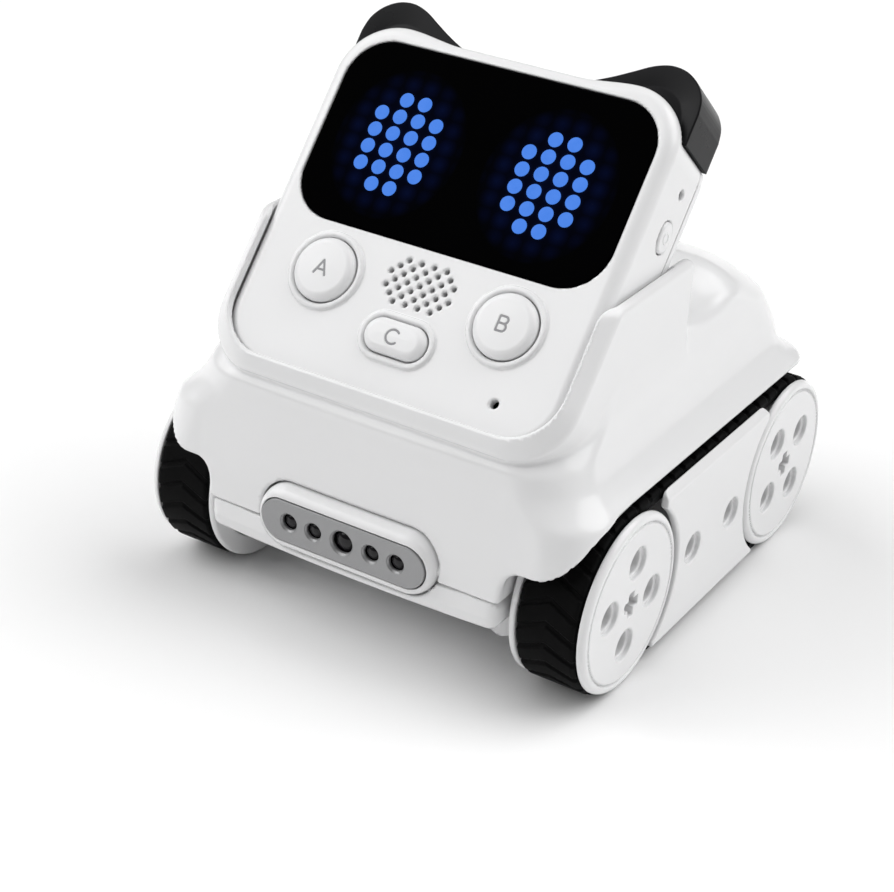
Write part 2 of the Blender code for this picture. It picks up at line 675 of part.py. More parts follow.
def make_pod():
    """The sensor pod's face is along -Y at rest."""
    pod = capsule("sensor_pod", POD_R, POD_HL)
    pod.hide_render = False
    pod.display_type = "TEXTURED"
    CUTTERS.objects.unlink(pod)
    ROBOT.objects.link(pod)
    pod.data.materials.append(GLOSS_WHITE)
    place = (0, POD_Z, -POD_Y)
    plate_outline = rounded_rect(POD_PLATE_HL, POD_PLATE_HH, POD_PLATE_HH, 6)
    face_off = add("pod_face_off", boxes(((-30, -10, POD_FACE), (30, 10, 20))), FRONT, None, place)
    seat = add("pod_seat", prism(rounded_rect(POD_PLATE_HL + 0.2, POD_PLATE_HH + 0.2, POD_PLATE_HH + 0.2, 6), -2.9, 10), FRONT, None, place)
    pins = add("pod_pins", cylinders(1.2, -21.0, 21.0, sides=10), GROUND, None, (0, POD_Y, POD_Z), (0, pi / 2, 0))
    cut(pod, face_off)
    join(pod, pins)
    cut(pod, seat)

    lens_places = [(i * LENS_STEP, 0) for i in (-2, -1, 0, 1, 2)]
    plate = add("sensor_faceplate", prism(plate_outline, POD_FACE - 1.0, POD_FACE), FRONT, SATIN_GREY, place)
    holes = cylinders(1.35, 0, 10, [lens_places[i] for i in (0, 1, 3, 4)], 12)
    cylinder_into(holes, 1.85, 0, 10, lens_places[2], 14)
    cut(plate, add("faceplate_holes", holes, FRONT, None, place))

    bar = add("sensor_lens_bar", prism(rounded_rect(15.4, 2.6, 2.6, 4), 0.4, 1.9), FRONT, GLOSS_BLACK, place)
    lenses = cylinders(1.1, 1.4, POD_FACE - 0.5, [lens_places[i] for i in (0, 1, 3, 4)], 10)
    cylinder_into(lenses, 1.6, 1.4, POD_FACE - 0.5, lens_places[2], 12)
    join(bar, add("lenses", lenses, FRONT, None, place))
    add("sensor_board", boxes(((-14.5, -2.6, -1.2), (14.5, 2.6, 0.1))), FRONT, BOARD_GREEN, place)


def make_dock_socket():
    socket = add("dock_socket", boxes(((-10.5, -53.4, -11.8), (10.5, -49.2, -6.2))), FACE, SOFT_BLACK)
    tongue = add("dock_tongue", boxes(((-7.0, -50.0, -9.9), (7.0, -43.4, -8.1))), FACE)
    join(socket, tongue)


# ---------------------------------------------------------------- running gear

def make_wheel(name, home, y):
    """A spool wheel with four peg holes and a cross hole on the outer disc."""
    profile = [(0, HUB_X), (16.0, HUB_X), (WHEEL_R, HUB_X - 1.3), (WHEEL_R, RIM_OUT_X),
               (15.2, RIM_OUT_X), (15.2, RIM_IN_X), (WHEEL_R, RIM_IN_X), (WHEEL_R, WHEEL_IN_X),
               (13.4, WHEEL_IN_X), (13.4, 42.4), (4.6, 42.4), (4.6, WHEEL_IN_X - 0.4), (0, WHEEL_IN_X - 0.4)]
    wheel = turned(name, profile, home, GLOSS_WHITE, 24, (y, TRACK_R, 0))
    turn = radians(82) if "front" in name else radians(127)
    pegs = [(GRID * cos(turn + i * pi / 2), GRID * sin(turn + i * pi / 2)) for i in range(4)]
    bm = cylinders(PEG_R, 40.0, 50.0, pegs, 10)
    sinks = cylinders(PEG_SINK_R, HUB_X - PEG_SINK_DEPTH, 50.0, pegs, 10)
    bore = cylinders(AXLE_R + 0.15, 20.0, 40.3, sides=14)
    key = prism(cross(2.45, 0.95), 41.5, 50.0)
    place = (y, TRACK_R, 0)
    cut(wheel, *[add(f"{name}_{part}", shape, home, None, place)
                 for part, shape in (("pegs", bm), ("sinks", sinks), ("bore", bore), ("key", key))])


def stadium(radius, steps=14):
    return without_repeats(arc((AXLE_Y, TRACK_R), radius, -90, 90, steps)
                           + arc((-AXLE_Y, TRACK_R), radius, 90, 270, steps))


def make_track(name, home):
    belt = add(name, prism(stadium(TRACK_R), BELT_IN_X, BELT_OUT_X), home, SOFT_BLACK)
    cut(belt, add(name + "_inside", prism(stadium(TRACK_R - TRACK_T), BELT_IN_X - 5, BELT_OUT_X + 5), home))


def make_side_plate(name, home):
    """The plate between the wheels, hollowed round each of them, with its peg holes on the grid."""
    reach = 18.0
    top = 33.5
    low = 2.5
    drop = TRACK_R - low
    low_y = AXLE_Y - sqrt(reach * reach - drop * drop)
    rise = 30.0 - TRACK_R
    rise_y = AXLE_Y - sqrt(reach * reach - rise * rise)
    angle_low = 180 + atan2(drop, AXLE_Y - low_y) * 180 / pi
    angle_high = 180 - atan2(rise, AXLE_Y - rise_y) * 180 / pi
    right = [(low_y, low)] + arc((AXLE_Y, TRACK_R), reach, angle_low, angle_high, 8)[1:]
    right += [(rise_y + 0.9, 32.0), (rise_y - 0.4, top)]
    outline = right + [(-y, z) for y, z in reversed(right)]
    plate = add(name, prism(outline, RIM_OUT_X, HUB_X), home, GLOSS_WHITE)
    shave = add(name + "_shave", prism([(-40, 32.8), (40, 32.8), (40, 40), (-40, 40)], HUB_X - 0.8, 60), home)
    spine = add(name + "_spine", prism(rounded_rect(12.0, 11.5, 2.0, 2), TRAY_HW + GAP, RIM_OUT_X + 0.5), home, None,
                (0, TRACK_R, 0))
    pegs = ((-GRID, TRACK_R), (GRID, TRACK_R))
    holes = add(name + "_pegs", cylinders(PEG_R, 36.0, 60, pegs, 12), home)
    sinks = add(name + "_sinks", cylinders(PEG_SINK_R, HUB_X - PEG_SINK_DEPTH, 60, pegs, 12), home)
    join(plate, spine)
    cut(plate, shave, holes, sinks)


def gear_outline(teeth, phase):
    """Involute teeth, a little thin for backlash. phase turns the first tooth from the +x direction."""
    pitch = MODULE * teeth / 2
    base = pitch * cos(PRESSURE)
    tip = pitch + ADDENDUM * MODULE
    root = pitch - DEDENDUM * MODULE
    half = (pi * MODULE / 2 - BACKLASH) / 2 / pitch

    def involute(angle):
        return tan(angle) - angle

    def half_width(radius):
        if radius <= base:
            return half + involute(PRESSURE)
        return half + involute(PRESSURE) - involute(pi / 2 - atan2(base, sqrt(radius * radius - base * base)))

    points = []
    for i in range(teeth):
        middle = phase + 2 * pi * i / teeth
        for radius in (root, pitch, tip):
            angle = middle - half_width(radius)
            points.append((radius * cos(angle), radius * sin(angle)))
        for radius in (tip, pitch, root):
            angle = middle + half_width(radius)
            points.append((radius * cos(angle), radius * sin(angle)))
    return points


def make_drive(side, home, sign):
    """Motor, two-stage reduction and rear axle of one side. sign is the way +Y runs in this frame."""
    big_step = pi / BIG_TEETH
    towards_motor = pi if sign > 0 else 0.0
    towards_axle = 0.0 if sign > 0 else pi

    axle_place = (sign * AXLE_Y, TRACK_R, 0)
    add(f"drive_axle_{side}", cylinders(AXLE_R, 16.6, 40.0, sides=14), home, BRIGHT_METAL, axle_place)
    output = add(f"output_gear_{side}", prism(gear_outline(BIG_TEETH, towards_motor + big_step), 24.0, 27.0),
                 home, NATURAL, axle_place)
    cut(output, add(f"output_bore_{side}", cylinders(AXLE_R + 0.1, 20, 30, sides=14), home, None, axle_place))

    idler_place = (sign * IDLER_Y, TRACK_R, 0)
    idler = add(f"compound_gear_{side}", prism(gear_outline(SMALL_TEETH, towards_axle), 22.8, 27.0),
                home, NATURAL, idler_place)
    join(idler, add(f"idler_big_{side}", prism(gear_outline(BIG_TEETH, towards_motor + big_step), 20.2, 23.2),
                    home, None, idler_place))
    cut(idler, add(f"idler_bore_{side}", cylinders(1.3, 15, 30, sides=12), home, None, idler_place))

    motor_place = (sign * MOTOR_Y, TRACK_R, 0)
    pinion = add(f"motor_pinion_{side}", prism(gear_outline(SMALL_TEETH, towards_axle), 20.2, 23.4),
                 home, BRIGHT_METAL, motor_place)
    cut(pinion, add(f"pinion_bore_{side}", cylinders(0.85, 15, 30, sides=10), home, None, motor_place))
    motor = add(f"motor_{side}", cylinders(MOTOR_R, 1.2, 16.9, sides=24), home, BRIGHT_METAL, motor_place)
    join(motor, add(f"motor_shaft_{side}", cylinders(0.7, 16.0, 23.6, sides=10), home, None, motor_place))

    middle = sign * (MOTOR_Y + AXLE_Y) / 2
    bracket = add(f"gearbox_{side}", prism(rounded_rect(16.4, 8.0, 4.0, 3), 17.3, 19.3), home, NATURAL,
                  (middle, TRACK_R, 0))
    join(bracket, add(f"gear_pin_{side}", cylinders(1.1, 18.0, 27.8, sides=12), home, None, idler_place))
    cut(bracket, add(f"bracket_axle_{side}", cylinders(AXLE_R + 0.15, 10, 25, sides=14), home, None, axle_place),
        add(f"bracket_motor_{side}", cylinders(2.0, 10, 25, sides=12), home, None, motor_place))


def make_running_gear():
    for side, home, sign in (("right", RIGHT, 1), ("left", LEFT, -1)):
        make_wheel(f"wheel_front_{side}", home, -sign * AXLE_Y)
        make_wheel(f"wheel_rear_{side}", home, sign * AXLE_Y)
        make_track(f"track_{side}", home)
        make_side_plate(f"side_plate_{side}", home)
        make_drive(side, home, sign)
        add(f"idler_axle_{side}", cylinders(AXLE_R, 26.0, 40.0, sides=14), home, BRIGHT_METAL,
            (-sign * AXLE_Y, TRACK_R, 0))
    board = add("drive_board", boxes(((-24, -18, 28.0), (24, 24, 29.2))), GROUND, BOARD_GREEN)
    return board


make_head_shells()
make_head_details()
make_body_shell()
make_tray()
make_pod()
make_dock_socket()
make_running_gear()
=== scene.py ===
"""Looks for the educational coding robot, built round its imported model.

Shapes are written as signed distance functions in millimetres, negative inside, and skinned with a
surface-nets mesher whose points are then pulled on to the exact surface. Lengths are in the robot's own
axes: x across, y from midway between the axles (the robot faces -y), z up from the ground. Pieces of the
head use the face's axes: x across, y up the face, z out of it.
"""

import json
from math import atan2, cos, pi, radians, sin

import bpy
import numpy as np
from mathutils import Matrix, Vector


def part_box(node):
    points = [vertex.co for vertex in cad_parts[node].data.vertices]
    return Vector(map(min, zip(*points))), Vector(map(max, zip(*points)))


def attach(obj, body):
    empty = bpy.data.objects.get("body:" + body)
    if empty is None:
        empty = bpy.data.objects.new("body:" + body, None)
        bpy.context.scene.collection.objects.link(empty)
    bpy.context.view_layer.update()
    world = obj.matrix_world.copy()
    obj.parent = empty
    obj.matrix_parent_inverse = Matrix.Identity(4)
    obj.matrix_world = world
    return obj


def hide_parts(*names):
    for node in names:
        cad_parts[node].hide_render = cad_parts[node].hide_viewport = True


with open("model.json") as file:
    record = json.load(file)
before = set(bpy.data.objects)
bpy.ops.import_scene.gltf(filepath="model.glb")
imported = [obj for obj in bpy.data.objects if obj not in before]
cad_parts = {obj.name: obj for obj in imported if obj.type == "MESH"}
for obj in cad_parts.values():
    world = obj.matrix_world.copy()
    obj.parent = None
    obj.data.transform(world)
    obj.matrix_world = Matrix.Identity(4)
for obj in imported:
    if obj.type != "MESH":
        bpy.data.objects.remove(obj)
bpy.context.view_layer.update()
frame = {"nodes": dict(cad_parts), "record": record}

MM = 0.001
GAP = 0.3
JOINTS = {joint["name"]: joint for joint in frame["record"]["behaviour"]["joints"]}


def joint_place(name):
    return Vector(JOINTS[name]["pos_m"]) / MM


# ---------------------------------------------------------------- where things are

REAR_AXLE = joint_place("rear_wheel_right")
FRONT_AXLE = joint_place("front_wheel_right")
POD_AXIS = joint_place("pod_tilt")
MIDDLE_Y = (REAR_AXLE.y + FRONT_AXLE.y) / 2
AXLE_Y = (REAR_AXLE.y - FRONT_AXLE.y) / 2
AXLE_Z = REAR_AXLE.z
LIFT = Vector(JOINTS["head_lift"]["axis"])
TILT = atan2(LIFT.y, LIFT.z)
WINDOW_V = 0.85
WINDOW_HW = 31.9
WINDOW_HH = 17.6
WINDOW_R = 8.5

window_low, window_high = (Vector(corner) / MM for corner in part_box("display_window"))
ROBOT_FRAME = Matrix.Translation((0, MIDDLE_Y * MM, 0))
FACE_TURN = Matrix.Rotation(pi / 2 - TILT, 4, "X")
face_origin = (window_low + window_high) / 2 - FACE_TURN.to_3x3() @ Vector((0, WINDOW_V, -0.9))
FACE_Y = face_origin.y - MIDDLE_Y
FACE_Z = face_origin.z
FACE_FRAME = Matrix.Translation(face_origin * MM) @ FACE_TURN

HEAD_HW = 35.0
HEAD_TOP = 21.0
HEAD_CROWN = 22.1
HEAD_BOTTOM = -46.5
HEAD_DEPTH = 18.0
HEAD_SPLIT = -15.2
HEAD_ROUND = 2.5
LOW_CORNER_R = 11.0
TOP_CORNER_R = 11.3
GRILLE_V = -23.6
GRILLE_PITCH = 2.6
GRILLE_HOLE_R = 0.52
BUTTON_U = 18.8
BUTTON_V = -25.9
BUTTON_R = 6.0
C_V = -33.9
KEY_TOP = 2.0
KEY_CROWN = 0.25
KEY_GAP = 0.1
POWER_V = -0.5
POWER_Z = -10.3
POWER_HL = 2.9
POWER_R = 2.2
SIDE_HOLE_V = 7.6
SIDE_HOLE_R = 0.95
DIAL_R = 7.6
DIAL_HALF = 1.2
DIAL_V = 5.0
DIAL_Z = -10.9
DIAL_FROM_MIDDLE = 28.2
MOUTH_HW = 34.3
MOUTH_BOTTOM = -44.1
MOUTH_R = 9.6
COLLAR_HW = 37.3
COLLAR_BOTTOM = -47.6
COLLAR_R = 11.1
COLLAR_PROUD = 1.4
COLLAR_TOP_Z = 69.6
CHEEK_BACK_Y = 0.2
TRAY_HW = 31.0
SEAM_Z = 21.5
FENDER_Z = 36.4
POD_R = 6.2
POD_HL = 18.9
POD_FACE = 3.3
HUB_X = 46.9
NOSE_BOW = 0.0011
RIM_OUT_X = 45.4
RIM_IN_X = 33.3
WHEEL_IN_X = 32.0
WHEEL_R = 17.0
BELT_R = 17.5
BELT_X = 39.35
BELT_HALF = 5.75
BELT_BARS = 54
PEG_AT = 8.0
PEG_R = 2.4
PEG_MOUTH_R = 3.05
PLATE_TOP = 34.9


# ---------------------------------------------------------------- distance functions

def smin(a, b, k):
    """The smaller of two distances, blended over k."""
    h = np.maximum(k - np.abs(a - b), 0.0) / k
    return np.minimum(a, b) - h * h * k * 0.25


def smax(a, b, k):
    return -smin(-a, -b, k)


def smooth(low, high, t):
    s = np.clip((t - low) / (high - low), 0.0, 1.0)
    return s * s * (3 - 2 * s)


def corner(qx, qy, r):
    """Distance to a quarter-rounded corner, given distances past its two arms' centres."""
    return np.minimum(np.maximum(qx, qy), 0.0) + np.hypot(np.maximum(qx, 0.0), np.maximum(qy, 0.0)) - r


def rect(x, y, half_x, half_y, r):
    return corner(np.abs(x) - half_x + r, np.abs(y) - half_y + r, r)


def disc(x, y, r):
    return np.hypot(x, y) - r


def slab(d2, z, low, high, r):
    """A flat shape d2 between two heights, with its edges rounded by r."""
    return corner(d2 + r, np.abs(z - (low + high) / 2) - (high - low) / 2 + r, r)


def segment(x, y, ax, ay, bx, by):
    dx, dy = bx - ax, by - ay
    t = np.clip(((x - ax) * dx + (y - ay) * dy) / (dx * dx + dy * dy), 0.0, 1.0)
    return np.hypot(x - ax - t * dx, y - ay - t * dy)


def polygon(x, y, points):
    """Signed distance to a closed outline."""
    distance = None
    inside = False
    for (ax, ay), (bx, by) in zip(points, points[1:] + points[:1]):
        d = segment(x, y, ax, ay, bx, by)
        distance = d if distance is None else np.minimum(distance, d)
        if ay != by:
            crosses = (y >= min(ay, by)) & (y < max(ay, by))
            crosses = crosses & (x < ax + (y - ay) * (bx - ax) / (by - ay))
            inside = inside ^ crosses
    return np.where(inside, -distance, distance)


def spline(points, steps=6):
    """A Catmull-Rom curve through points, ends included."""
    whole = [points[0]] + list(points) + [points[-1]]
    curve = []
    for p0, p1, p2, p3 in zip(whole, whole[1:], whole[2:], whole[3:]):
        for i in range(steps):
            t = i / steps
            curve.append(tuple(0.5 * (2 * b + (c - a) * t + (2 * a - 5 * b + 4 * c - d) * t * t
                                      + (3 * b - a - 3 * c + d) * t ** 3)
                               for a, b, c, d in zip(p0, p1, p2, p3)))
    return curve + [tuple(points[-1])]


# ---------------------------------------------------------------- the mesher

def gradient(field, p, h):
    g = np.empty_like(p)
    for i in range(3):
        step = np.zeros(3)
        step[i] = h
        g[:, i] = (value(field, p + step) - value(field, p - step)) / (2 * h)
    return g


def value(field, p):
    return np.broadcast_to(field(p[:, 0], p[:, 1], p[:, 2]), len(p)).astype(float)


def skin(field, low, high, step):
    """Points, faces and normals of the surface where field is zero."""
    axes = [np.arange(a - 1.5 * step, b + 2.5 * step, step) for a, b in zip(low, high)]
    shape = tuple(len(a) for a in axes)
    x, y, z = axes[0][:, None, None], axes[1][None, :, None], axes[2][None, None, :]
    f = np.broadcast_to(field(x, y, z), shape).astype(np.float32)
    inside = f < 0
    corners = [(i, j, k) for i in (0, 1) for j in (0, 1) for k in (0, 1)]
    count = np.zeros([n - 1 for n in shape], np.uint8)
    for i, j, k in corners:
        count += inside[i:shape[0] - 1 + i, j:shape[1] - 1 + j, k:shape[2] - 1 + k]
    active = (count > 0) & (count < 8)
    cells = np.argwhere(active)
    index = np.full(active.shape, -1, np.int64)
    index[active] = np.arange(len(cells))

    values = np.stack([f[cells[:, 0] + i, cells[:, 1] + j, cells[:, 2] + k] for i, j, k in corners], 1)
    total = np.zeros((len(cells), 3))
    crossings = np.zeros(len(cells))
    for a, ca in enumerate(corners):
        for b, cb in enumerate(corners):
            if b > a and sum(abs(m - n) for m, n in zip(ca, cb)) == 1:
                fa, fb = values[:, a], values[:, b]
                cut = (fa < 0) != (fb < 0)
                t = fa[cut] / (fa[cut] - fb[cut])
                total[cut] += np.array(ca) + (np.array(cb) - np.array(ca)) * t[:, None]
                crossings[cut] += 1
    points = np.array([a[0] for a in axes]) + (cells + total / crossings[:, None]) * step

    faces = []
    for axis in range(3):
        p, q = (axis + 1) % 3, (axis + 2) % 3
        near = [slice(1, -1)] * 3
        near[axis] = slice(0, -1)
        far = list(near)
        far[axis] = slice(1, None)
        here = inside[tuple(near)]
        differs = here != inside[tuple(far)]
        at = np.argwhere(differs)
        at[:, p] += 1
        at[:, q] += 1
        flip = ~here[differs]
        quad = []
        for dp, dq in ((1, 1), (0, 1), (0, 0), (1, 0)):
            cell = at.copy()
            cell[:, p] -= dp
            cell[:, q] -= dq
            quad.append(index[cell[:, 0], cell[:, 1], cell[:, 2]])
        quad = np.stack(quad, 1)
        quad[flip] = quad[flip][:, ::-1]
        faces.append(quad)
    faces = np.concatenate(faces)
    faces = faces[(faces >= 0).all(1)]

    for _ in range(2):
        g = gradient(field, points, step * 0.2)
        size = np.maximum(np.linalg.norm(g, axis=1), 0.2)
        move = np.clip(value(field, points) / size, -0.5 * step, 0.5 * step)
        points = points - g / size[:, None] * move[:, None]
    normals = gradient(field, points, step * 0.2)
    normals /= np.maximum(np.linalg.norm(normals, axis=1), 1e-6)[:, None]
    return points, faces, normals


def mesh_object(name, points, faces, matrix, normals=None):
    mesh = bpy.data.meshes.new(name)
    mesh.from_pydata((np.asarray(points) * MM).tolist(), [], np.asarray(faces).tolist()
                     if isinstance(faces, np.ndarray) else faces)
    mesh.shade_smooth()
    if normals is not None:
        mesh.normals_split_custom_set_from_vertices(normals.tolist())
    made = bpy.data.objects.new(name, mesh)
    made.matrix_world = matrix
    bpy.context.scene.collection.objects.link(made)
    return made


def wear(piece, material, body, slot, *nodes):
    """Finishes a piece: its material, the body it rides on and the nodes it stands for."""
    piece.data.materials.append(material)
    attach(piece, body)
    if nodes:
        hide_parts(*nodes)
    return piece


def form(name, field, low, high, step, matrix):
    points, faces, normals = skin(field, low, high, step)
    return mesh_object(name, points, faces, matrix, normals)


# ---------------------------------------------------------------- materials

class Nodes:
    """Short-hand for building a material's nodes."""

    def __init__(self, name):
        self.material = bpy.data.materials.new(name)
        self.material.use_nodes = True
        self.tree = self.material.node_tree
        self.shader = self.tree.nodes["Principled BSDF"]

    def add(self, kind, **settings):
        node = self.tree.nodes.new(kind)
        for key, item in settings.items():
            setattr(node, key, item)
        return node

    def feed(self, socket, item):
        if isinstance(item, bpy.types.NodeSocket):
            self.tree.links.new(item, socket)
        else:
            socket.default_value = item

    def set(self, name, item):
        self.feed(self.shader.inputs[name], item)

    def math(self, operation, *items, clamp=False):
        node = self.add("ShaderNodeMath", operation=operation, use_clamp=clamp)
        for socket, item in zip(node.inputs, items):
            self.feed(socket, item)
        return node.outputs[0]

    def place(self):
        """Position in the piece's own axes, in millimetres."""
        node = self.add("ShaderNodeVectorMath", operation="SCALE")
        self.feed(node.inputs[0], self.add("ShaderNodeTexCoord").outputs["Object"])
        self.feed(node.inputs["Scale"], 1000.0)
        return node.outputs[0]

    def noise(self, place, scale, detail=3.0, roughness=0.5):
        node = self.add("ShaderNodeTexNoise")
        self.feed(node.inputs["Vector"], place)
        self.feed(node.inputs["Scale"], scale)
        self.feed(node.inputs["Detail"], detail)
        self.feed(node.inputs["Roughness"], roughness)
        return node.outputs["Fac"]

    def between(self, factor, low, high):
        node = self.add("ShaderNodeMapRange")
        self.feed(node.inputs["Value"], factor)
        self.feed(node.inputs["To Min"], low)
        self.feed(node.inputs["To Max"], high)
        return node.outputs[0]

    def mix(self, factor, a, b):
        node = self.add("ShaderNodeMix", data_type="RGBA")
        self.feed(node.inputs[0], factor)
        self.feed(node.inputs[6], (*a, 1.0) if isinstance(a, tuple) and len(a) == 3 else a)
        self.feed(node.inputs[7], (*b, 1.0) if isinstance(b, tuple) and len(b) == 3 else b)
        return node.outputs[2]

    def bump(self, height, distance_mm, strength=1.0):
        node = self.add("ShaderNodeBump")
        self.feed(node.inputs["Strength"], strength)
        self.feed(node.inputs["Distance"], distance_mm * MM)
        self.feed(node.inputs["Height"], height)
        self.set("Normal", node.outputs[0])


def plastic(name, colour, low, high, tint=0.015, grain=0.004, grain_scale=2.2, shine=0.5):
    """Moulded plastic: colour that drifts a little, a polish that varies, and a fine skin texture."""
    n = Nodes(name)
    place = n.place()
    drift = n.noise(place, 0.03, 2.0)
    darker = tuple(c * (1 - tint * 2) for c in colour)
    n.set("Base Color", n.mix(drift, darker, colour))
    smudge = n.noise(place, 0.12, 4.0, 0.6)
    n.set("Roughness", n.between(smudge, low, high))
    n.set("Specular IOR Level", shine)
    n.bump(n.noise(place, grain_scale, 3.0), grain)
    return n.material


WHITE = plastic("white_gloss_plastic", (0.80, 0.80, 0.805), 0.16, 0.26)
KEY_WHITE = plastic("white_key_plastic", (0.80, 0.80, 0.805), 0.28, 0.36)
EAR_BLACK = plastic("ear_black_plastic", (0.008, 0.008, 0.009), 0.22, 0.36, tint=0.1, grain=0.003, shine=0.09)
DARK = plastic("dark_plastic", (0.02, 0.02, 0.022), 0.4, 0.55, tint=0.1)
MARK_GREY = plastic("mark_grey_ink", (0.27, 0.27, 0.28), 0.4, 0.5)
NYLON = plastic("natural_nylon", (0.62, 0.6, 0.52), 0.4, 0.55, grain=0.01)
CELL = plastic("cell_wrap", (0.03, 0.07, 0.2), 0.15, 0.3, tint=0.1)


def rubber():
    n = Nodes("belt_rubber")
    place = n.place()
    dust = n.noise(place, 0.5, 5.0, 0.7)
    n.set("Base Color", n.mix(dust, (0.0012, 0.0012, 0.0013), (0.004, 0.004, 0.0042)))
    n.set("Roughness", n.between(n.noise(place, 1.4, 4.0), 0.5, 0.65))
    n.set("Specular IOR Level", 0.05)
    n.bump(n.noise(place, 5.0, 4.0), 0.02)
    return n.material


def faceplate_paint():
    n = Nodes("silver_grey_paint")
    place = n.place()
    speck = n.noise(place, 9.0, 2.0)
    n.set("Base Color", n.mix(speck, (0.25, 0.25, 0.255), (0.36, 0.36, 0.365)))
    n.set("Metallic", 0.35)
    n.set("Roughness", n.between(n.noise(place, 0.6), 0.34, 0.44))
    n.bump(speck, 0.006)
    return n.material


def lens_glass():
    n = Nodes("sensor_lens")
    place = n.place()
    n.set("Base Color", n.mix(n.noise(place, 0.8), (0.004, 0.004, 0.005), (0.012, 0.01, 0.012)))
    n.set("Roughness", n.between(n.noise(place, 0.5), 0.03, 0.07))
    n.set("Specular IOR Level", 0.3)
    n.bump(n.noise(place, 1.0), 0.002)
    return n.material


def metal(name, colour, low, high):
    n = Nodes(name)
    place = n.place()
    stretch = n.add("ShaderNodeVectorMath", operation="MULTIPLY")
    n.feed(stretch.inputs[0], place)
    n.feed(stretch.inputs[1], (8.0, 1.0, 1.0))
    lines = n.noise(stretch.outputs[0], 1.0, 4.0)
    n.set("Base Color", n.mix(lines, tuple(c * 0.85 for c in colour), colour))
    n.set("Metallic", 1.0)
    n.set("Roughness", n.between(lines, low, high))
    n.bump(lines, 0.004)
    return n.material


def board():
    n = Nodes("circuit_board")
    place = n.place()
    cells = n.add("ShaderNodeTexVoronoi", feature="DISTANCE_TO_EDGE")
    n.feed(cells.inputs["Vector"], place)
    n.feed(cells.inputs["Scale"], 0.35)
    trace = n.math("LESS_THAN", cells.outputs["Distance"], 0.06)
    n.set("Base Color", n.mix(trace, (0.008, 0.075, 0.03), (0.02, 0.17, 0.07)))
    n.set("Roughness", n.between(n.noise(place, 0.6), 0.25, 0.4))
    n.bump(trace, 0.03)
    return n.material


RUBBER = rubber()
PLATE_GREY = faceplate_paint()
LENS = lens_glass()
STEEL = metal("machined_steel", (0.55, 0.55, 0.57), 0.22, 0.38)
BOARD = board()

LED_U = 3.86
LED_V = 3.316
LED_BLUE = (0.055, 0.20, 0.72)


def window_glass():
    """Black window. Round each eye the unlit lamps glow a little, less with distance from the eye."""
    n = Nodes("display_glass")
    place = n.place()
    split = n.add("ShaderNodeSeparateXYZ")
    n.feed(split.inputs[0], place)
    u, v = split.outputs[0], split.outputs[1]

    def to_lattice(item, pitch, offset):
        scaled = n.math("ADD", n.math("DIVIDE", item, pitch), offset)
        return n.math("MULTIPLY", n.math("SUBTRACT", scaled, n.math("ROUND", scaled)), pitch)

    du = to_lattice(u, LED_U, 0.5)
    dv = to_lattice(v, LED_V, 0.5)
    from_lamp = n.math("SQRT", n.math("ADD", n.math("POWER", du, 2.0), n.math("POWER", dv, 2.0)))
    lamp = n.math("SUBTRACT", 1.0, n.math("DIVIDE", from_lamp, 2.0), clamp=True)
    eye_u = n.math("SUBTRACT", n.math("ABSOLUTE", u), 4 * LED_U)
    reach = n.math("SQRT", n.math("ADD", n.math("POWER", n.math("DIVIDE", eye_u, 13.0), 2.0),
                                  n.math("POWER", n.math("DIVIDE", v, 14.5), 2.0)))
    fade = n.math("POWER", n.math("SUBTRACT", 1.0, reach, clamp=True), 0.8)
    glow = n.math("MULTIPLY", fade, n.math("ADD", n.math("MULTIPLY", lamp, 0.8), 0.15))
    n.set("Base Color", n.mix(n.noise(place, 0.05), (0.0002, 0.0002, 0.0003), (0.0005, 0.0005, 0.0006)))
    n.set("Roughness", n.between(n.noise(place, 0.08, 4.0), 0.035, 0.075))
    n.set("Specular IOR Level", 0.003)
    n.set("Emission Color", (0.05, 0.14, 0.9, 1.0))
    n.set("Emission Strength", n.math("MULTIPLY", glow, 0.07))
    n.bump(n.noise(place, 1.0), 0.0015)
    return n.material


def lamp_glow():
    """A lit lamp whose blue drifts a little paler here and there."""
    n = Nodes("lamp_lit")
    place = n.place()
    n.set("Base Color", (0.01, 0.03, 0.1, 1.0))
    n.set("Roughness", n.between(n.noise(place, 1.0), 0.25, 0.35))
    n.set("Specular IOR Level", 0.02)
    n.set("Emission Color", n.mix(n.noise(place, 0.6), LED_BLUE, (0.085, 0.245, 0.80)))
    n.set("Emission Strength", 0.95)
    n.bump(n.noise(place, 2.0), 0.002)
    return n.material


WINDOW = window_glass()
LAMP = lamp_glow()


# ---------------------------------------------------------------- head

def head_outline(x, y):
    """The head seen square on to its face."""
    low = corner(np.abs(x) - HEAD_HW + LOW_CORNER_R, HEAD_BOTTOM + LOW_CORNER_R - y, LOW_CORNER_R)
    high = corner(np.abs(x) - HEAD_HW + TOP_CORNER_R, y - HEAD_CROWN + TOP_CORNER_R, TOP_CORNER_R)
    crown_u = HEAD_HW - TOP_CORNER_R
    top = HEAD_TOP + (HEAD_CROWN - HEAD_TOP) * smooth(12.0, crown_u, np.abs(x))
    return np.maximum(np.maximum(low, high), y - top)


# the ear's upper edge, from the middle of the head outwards
EAR_CURVE = [(10.6, 20.8), (12.8, 21.4), (16.8, 23.2), (20.3, 25.1), (23.6, 26.9), (26.8, 27.75),
             (30.0, 27.3), (32.7, 25.6), (34.4, 23.2), (35.0, 20.4)]
EAR_FOOT = 14.4
EAR_FRONT = -3.6


def ear_outline(x, y):
    shape = spline(EAR_CURVE, 4) + [(35.0, EAR_FOOT), (24.0, EAR_FOOT), (12.0, 17.0), (10.6, 20.0)]
    seat = disc(x - (HEAD_HW - TOP_CORNER_R), y - (HEAD_CROWN - TOP_CORNER_R), 9.0)
    return smax(polygon(x, y, shape), -seat, 0.3)


